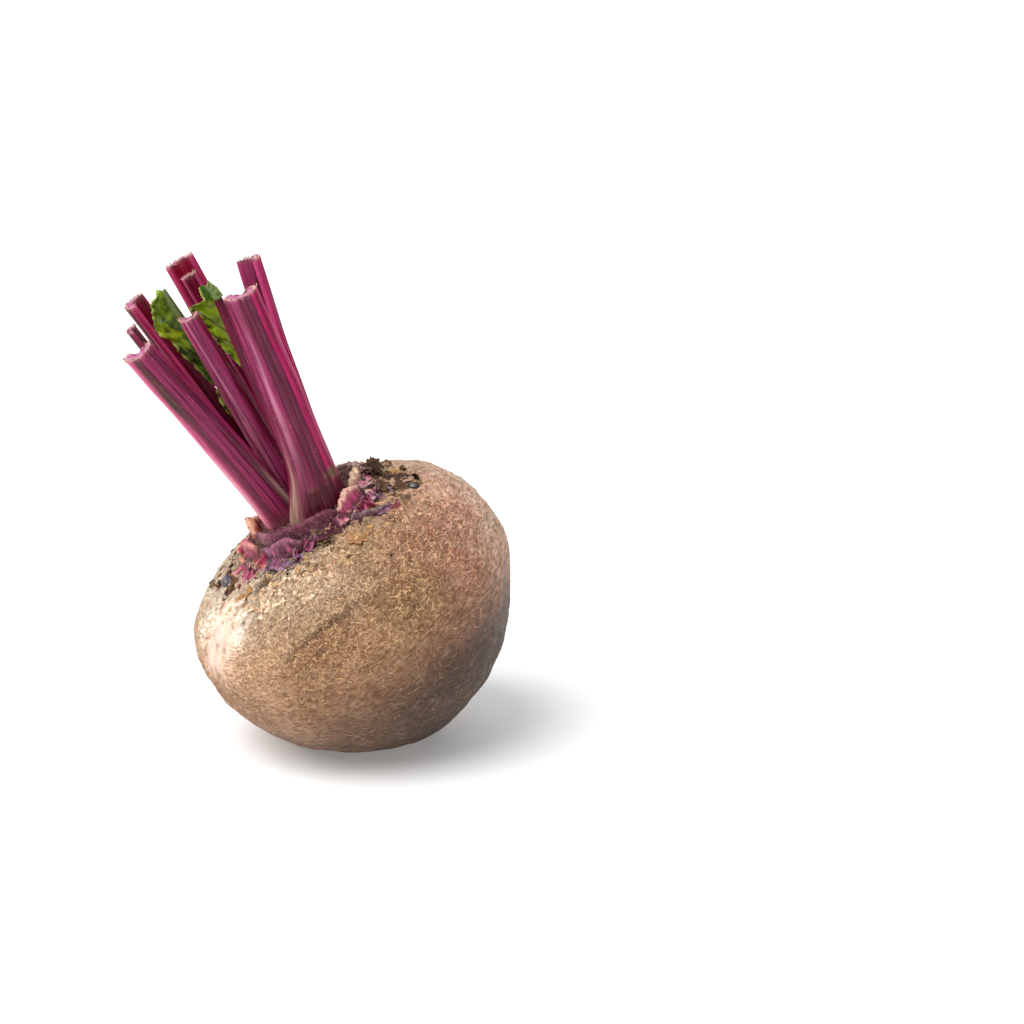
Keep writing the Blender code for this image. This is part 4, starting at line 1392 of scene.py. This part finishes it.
def add_buds(skin, bud_look, husk_look):
    """Dead side buds: a glossy violet-grey kernel in a torn brown husk."""
    for seed, (name, (bearing, distance, length, width, height)) in enumerate(BUDS.items(), start=91):
        rng = np.random.default_rng(seed)
        shell = Shell()
        hit, normal = seat(skin, *around_crown(math.radians(bearing), distance * MM))
        across = normal.cross(Vector((0, 0, 1))).normalized()
        up = normal.cross(across)
        ball, faces = ball_mesh(4)
        dent = noise_at(ball, 0.9, seed, 2)
        furrow = bump(ball[:, 0], 0, 0.22) * (ball[:, 2] > 0)
        ball = ball * (1 + 0.10 * dent - 0.16 * furrow)[:, None]
        axes = np.array([across * width * 0.5, up * length * 0.5, normal * height * 0.55]) * MM
        pale, dark = (paint(*tone) for tone in BUD_TONES[name])
        tone = tint(mix(pale, dark, 0.5 + 0.8 * dent), (36, 26, 30, 0.8 * furrow))
        shell.add(np.array(hit) + ball @ axes, faces, tone)
        for index in range(BUD_FLAKES):
            beside = np.array(across) * rng.normal(0, 0.55 * width) * MM
            below = np.array(up) * rng.uniform(-0.2, 1.0) * length * MM
            place = np.array(hit) + beside - below
            tone = BUD_HUSKS[index % len(BUD_HUSKS)]
            add_flake(shell, skin, place, rng.uniform(1.0, 2.2) * MM, rng, tone, 0.6, 0.35 * MM, 0.7, 0.4)
        shell.slots = [0] * len(faces) + [1] * (len(shell.faces) - len(faces))
        shell.build(name + "_glossy", [bud_look, husk_look], "dry_husk", name)


# Peeling flakes of skin: place, how many, spread in millimetres, size, tone.
PEELS = [
    ((-59, 43.5), 2, 0.8, 2.6, (176, 130, 86)),
    ((-64, 43), 2, 0.8, 2.8, (160, 116, 78)),
    ((-141, 46), 6, 3.0, 1.6, (176, 128, 78)),
    ((-160, 43), 9, 3.0, 1.8, (96, 70, 50)),
    ((-54, 43), 6, 3.2, 2.2, (150, 124, 100)),
    ((-100, 41), 8, 4.0, 1.5, (176, 140, 100)),
    ((-118, 42), 8, 4.0, 1.4, (190, 158, 116)),
    ((-125, 38), 7, 3.0, 1.3, (110, 84, 66)),
    ((-80, 42), 8, 4.0, 1.5, (150, 120, 88)),
    ((-30, 47), 8, 3.5, 1.7, (100, 76, 58)),
    ((-20, 42), 12, 3.0, 2.3, (84, 60, 44)),
    ((-2, 40), 10, 3.0, 2.6, (70, 50, 38)),
    ((-8, 46), 10, 4.5, 1.9, (76, 56, 44)),
    ((10, 46), 9, 4.0, 1.8, (92, 68, 50)),
    ((30, 48), 9, 5.0, 1.7, (120, 92, 66)),
    ((-12, 52), 9, 5.0, 1.4, (170, 134, 92)),
    ((60, 50), 9, 6.0, 1.7, (130, 100, 74)),
    ((95, 48), 9, 6.0, 1.7, (120, 92, 70)),
    ((130, 46), 9, 6.0, 1.7, (140, 108, 80)),
    ((165, 46), 9, 5.0, 1.6, (110, 84, 64)),
    ((-150, 52), 7, 5.0, 1.2, (206, 172, 126)),
    ((-128, 49), 20, 5.0, 1.4, (232, 190, 154)),
    ((-112, 48), 22, 6.0, 1.4, (238, 200, 166)),
    ((-94, 47), 18, 6.0, 1.3, (220, 176, 142)),
    ((-74, 46), 14, 6.0, 1.1, (184, 150, 112)),
    ((-56, 50), 12, 6.0, 1.1, (190, 154, 116)),
    ((-30, 54), 12, 7.0, 1.1, (196, 160, 124)),
    ((-118, 43), 10, 4.0, 1.3, (140, 110, 92)),
    ((-95, 42), 10, 4.0, 1.3, (120, 92, 74)),
]


def add_peels(skin, material):
    """Thin flakes of skin that peel off round the crown."""
    rng = np.random.default_rng(61)
    shell = Shell()
    for (bearing, polar), count, spread, size, tone in PEELS:
        for _ in range(count):
            place = unit(bearing, polar) * SKIN_RADIUS * MM + rng.normal(0, spread * 0.6, 3) * MM
            flake_size = size * rng.uniform(0.5, 1.15) * MM
            add_flake(shell, skin, place, flake_size, rng, tone, 0.28, 0.12 * MM, 0.5, 0.22)
    shell.build("root_skin_flakes", [material], "dry_husk")


# What is left of older leaves, like shingles round the crown: bearing and distance from its centre,
# width, height, outward lean in degrees, face tone, rim tone.
CREAM, LILAC = (222, 200, 168), (142, 104, 132)
SHIELDS = [
    (-178, 20.6, 8.0, 4.0, 40, (146, 70, 66), (200, 150, 116)),
    (-168, 24.0, 8.5, 4.0, 58, (168, 76, 96), (206, 146, 142)),
    (-160, 21.0, 9.0, 4.6, 48, (156, 28, 60), (206, 130, 96)),
    (-152, 24.8, 8.0, 4.0, 60, (156, 66, 90), (190, 130, 140)),
    (-144, 20.6, 7.0, 4.2, 46, (150, 36, 62), (190, 110, 96)),
    (-133, 22.0, 8.0, 4.2, 50, (112, 66, 88), LILAC),
    (-121, 22.4, 8.0, 3.6, 54, (116, 46, 74), LILAC),
    (-116, 24.6, 8.5, 2.6, 66, (110, 76, 96), (158, 126, 148)),
    (-107, 21.4, 7.0, 3.6, 46, (100, 12, 42), (140, 66, 96)),
    (-92, 21.4, 7.5, 1.8, 60, (58, 12, 30), (92, 38, 56)),
    (-78, 21.2, 8.0, 2.0, 56, (80, 14, 38), (108, 46, 68)),
    (-66, 21.6, 7.5, 2.4, 52, (96, 24, 52), (130, 74, 92)),
    (-70, 20.6, 7.0, 3.0, 30, (150, 66, 92), (206, 150, 140)),
    (-50, 21.6, 9.5, 4.4, 38, (176, 56, 92), CREAM),
    (-34, 20.8, 7.0, 4.0, 34, (124, 62, 84), (176, 140, 156)),
    (-24, 19.2, 7.0, 3.4, 30, (176, 96, 120), (206, 160, 156)),
    (-30, 22.8, 5.0, 4.0, 46, (120, 70, 96), (170, 140, 156)),
    (-10, 19.6, 7.5, 2.6, 34, (176, 84, 108), CREAM),
    (-47, 27.4, 6.0, 1.5, 76, (104, 52, 74), (122, 116, 126)),
    (-42, 29.2, 4.0, 1.2, 80, (120, 26, 36), (120, 70, 84)),
    (18, 21.5, 7.0, 1.6, 60, (140, 84, 96), (176, 140, 130)),
    (38, 21.4, 7.5, 1.6, 62, (130, 60, 84), (176, 140, 130)),
    (58, 22.0, 8.5, 2.6, 56, (150, 60, 90), (196, 150, 140)),
    (80, 22.0, 8.5, 4.4, 44, (124, 44, 74), (180, 130, 140)),
    (102, 22.0, 8.5, 4.6, 48, (156, 66, 98), (206, 160, 150)),
    (124, 21.6, 8.0, 4.4, 44, (136, 46, 80), (196, 150, 140)),
    (146, 22.0, 8.0, 4.4, 50, (172, 70, 96), (222, 170, 130)),
    (164, 21.4, 8.0, 4.2, 46, (176, 62, 88), (226, 176, 136)),
]
SHIELD_ROWS = 14
SHIELD_COLUMNS = 30


def add_shield(shell, skin, numbers, seed):
    """One torn scale: its foot stands in the skin, and its ragged rim leans out and curls."""
    bearing, distance, width, height, lean, face, rim = numbers
    lean = math.radians(lean)
    face, rim = paint(*face), paint(*rim)
    grid, tones, wears = [], [], []
    for row in range(SHIELD_ROWS):
        up = row / (SHIELD_ROWS - 1)
        for column in range(SHIELD_COLUMNS):
            side = 2 * column / (SHIELD_COLUMNS - 1) - 1
            turn = math.radians(bearing) + side * width / 2 / distance
            hit, normal = seat(skin, *around_crown(turn, (distance - 0.7 * side * side) * MM))
            outward = Vector((math.cos(turn), math.sin(turn), 0))
            outward = (outward - normal * outward.dot(normal)).normalized()
            tear = wobble(side * 3.2, seed, 1) + 0.35 * wobble(side * 14, seed, 2)
            tall = height * (1 - 0.65 * abs(side) ** 2.5) * (1 + 0.26 * tear)
            fold = wobble(side * 3.2, up, seed)
            rise = (math.cos(lean) * up + 0.20 * fold * up) * tall
            out = (math.sin(lean) * up + 0.25 * up * up) * tall * (1 + 0.3 * fold)
            grid.append(hit + normal * (rise - 0.5) * MM + outward * out * MM)
            line = wobble(side * width * 1.6, up * 0.8, seed + 3)
            rough = wobble(side * width * 2.5, up * 6, seed + 5)
            tone = face * (1 + 0.45 * line + 0.25 * rough)
            pale = 1 - smooth_fall(up + 0.14 * tear + 0.1 * rough, 0.78, 0.98)
            pale = max(pale, 0.8 * (1 - smooth_fall(abs(side), 0.86, 1.0)))
            # Painted shade: each scale darker near its foot, where it meets the skin.
            low = smooth_fall(up + 0.1 * rough, 0.12, 0.4)
            tone = tone * (1 - 0.6 * low)
            tones.append(tone * (1 - pale) + rim * (1 + 0.3 * rough) * pale)
            wears.append(0.2 + 0.5 * pale)
    grid = np.array(grid).reshape(SHIELD_ROWS, SHIELD_COLUMNS, 3)
    points, faces = slab(grid, 0.45 * MM)
    shell.add(points, faces, np.vstack([tones, tones]), np.concatenate([wears, wears]))


def add_shields(skin, material):
    """All the scales round the crown, in one piece."""
    shell = Shell()
    for seed, numbers in enumerate(SHIELDS, start=200):
        add_shield(shell, skin, numbers, seed)
    shell.build("crown_scales", [material], "leaf_base_skin")


CRUMBS = 420
CRUMB_TONES = [(54, 38, 30), (92, 66, 50), (40, 28, 26), (110, 56, 62)]


def add_crumbs(skin, material):
    """Dark crumbs of soil and dead tissue in the crevices under the crown."""
    rng = np.random.default_rng(67)
    shell = Shell()
    ball, faces = ball_mesh(2)
    for _ in range(CRUMBS):
        direction = unit(rng.uniform(-180, 180), rng.normal(37, 4.5))
        hit, normal, _, _ = skin.find_nearest(Vector(direction * 40 * MM))
        size = rng.gamma(3.0, 0.085) * MM
        lumpy = ball * (1 + 0.5 * noise_at(ball + rng.uniform(0, 9, 3), 0.9, 3))[:, None]
        points = np.array(hit + normal * size * 0.3) + lumpy * size * rng.uniform(0.6, 1.3, 3)
        shell.add(points, faces, paint(*CRUMB_TONES[rng.integers(0, len(CRUMB_TONES))]), 1.0)
    shell.build("crown_crumbs", [material], "dry_husk", tidy_normals=False)


# ---------------------------------------------------------------- floor, light and camera


# Suns: strength, size in degrees, and how they are turned.
SUNS = {"key": (3.5, 50, (38, 0, -48)), "top": (1.2, 80, (4, 0, 20))}
FLOOR_HALF = 15
FLOOR_GREYS = (225.1, 227.77)
# The floor glows faintly, painted light that lightens the shadow on it.
FLOOR_GLOW = 0.20
SKY_STRENGTH = 0.27

CAMERA_ELEVATION = 15
CAMERA_DISTANCE = 0.6986
AIM_RIGHT, AIM_UP = 0.0445, 0.0267  # from the middle of the root's widest ring
FOCAL_LENGTH, SENSOR_WIDTH = 85, 36


def add_stage():
    """A plain light floor that glows faintly as painted light, an even white sky and two soft suns."""
    mesh = bpy.data.meshes.new("floor")
    corners = [(x * FLOOR_HALF, y * FLOOR_HALF, 0) for x, y in ((-1, -1), (1, -1), (1, 1), (-1, 1))]
    mesh.from_pydata(corners, [], [(0, 1, 2, 3)])
    s = Surface("floor_look", Specular_IOR_Level=0.0, Emission_Strength=FLOOR_GLOW)
    dark, light = ((grey, grey, grey) for grey in FLOOR_GREYS)
    mesh.materials.append(s.finish(s.mix(s.noise(3.0, 1.0), dark, light), 0.9))
    put("floor", mesh)

    world = bpy.data.worlds.new("studio")
    world.use_nodes = True
    sky = world.node_tree.nodes["Background"]
    sky.inputs["Color"].default_value = (1, 1, 1, 1)
    sky.inputs["Strength"].default_value = SKY_STRENGTH
    bpy.context.scene.world = world

    for name, (energy, size, turn) in SUNS.items():
        lamp = bpy.data.lights.new(name, "SUN")
        lamp.energy = energy
        lamp.angle = math.radians(size)
        put(name, lamp).rotation_euler = [math.radians(part) for part in turn]


def add_camera():
    """The camera looks along +Y and down, aimed right of and above the beetroot."""
    elevation = math.radians(CAMERA_ELEVATION)
    ahead = Vector((0, math.cos(elevation), -math.sin(elevation)))
    above = Vector((0, math.sin(elevation), math.cos(elevation)))
    aim = GROWTH.translation + Vector((AIM_RIGHT, 0, 0)) + above * AIM_UP
    lens = bpy.data.cameras.new("camera")
    lens.lens, lens.sensor_width = FOCAL_LENGTH, SENSOR_WIDTH
    lens.clip_start, lens.clip_end = 0.01, 60
    camera = put("camera", lens)
    camera.location = aim - ahead * CAMERA_DISTANCE
    camera.rotation_euler = (math.radians(90 - CAMERA_ELEVATION), 0, 0)
    bpy.context.scene.camera = camera
    bpy.context.scene.view_settings.view_transform = "Standard"


def main():
    """Builds every piece, the stage and the camera."""
    shell, skin, points, directions, tone, felt = root_mesh()
    shell.build("root_felted", [skin_material()], "root_skin", "root")
    add_fibres(skin, points, directions, tone, felt, fibre_material())
    stalk_look = stalk_material()
    add_stalks(stalk_look)
    add_leaves(stalk_look, blade_material())
    base_look, husk_look = base_material(), husk_material()
    rims = {}
    for seed, (name, numbers) in enumerate(LEAF_BASES.items(), start=100):
        rims[name] = add_base(skin, name, numbers, seed, base_look)
    add_fuzz(rims, base_look)
    add_scraps(skin, husk_look)
    add_buds(skin, bud_material(), husk_look)
    add_peels(skin, husk_look)
    add_shields(skin, base_look)
    add_crumbs(skin, husk_look)
    add_stage()
    add_camera()


main()
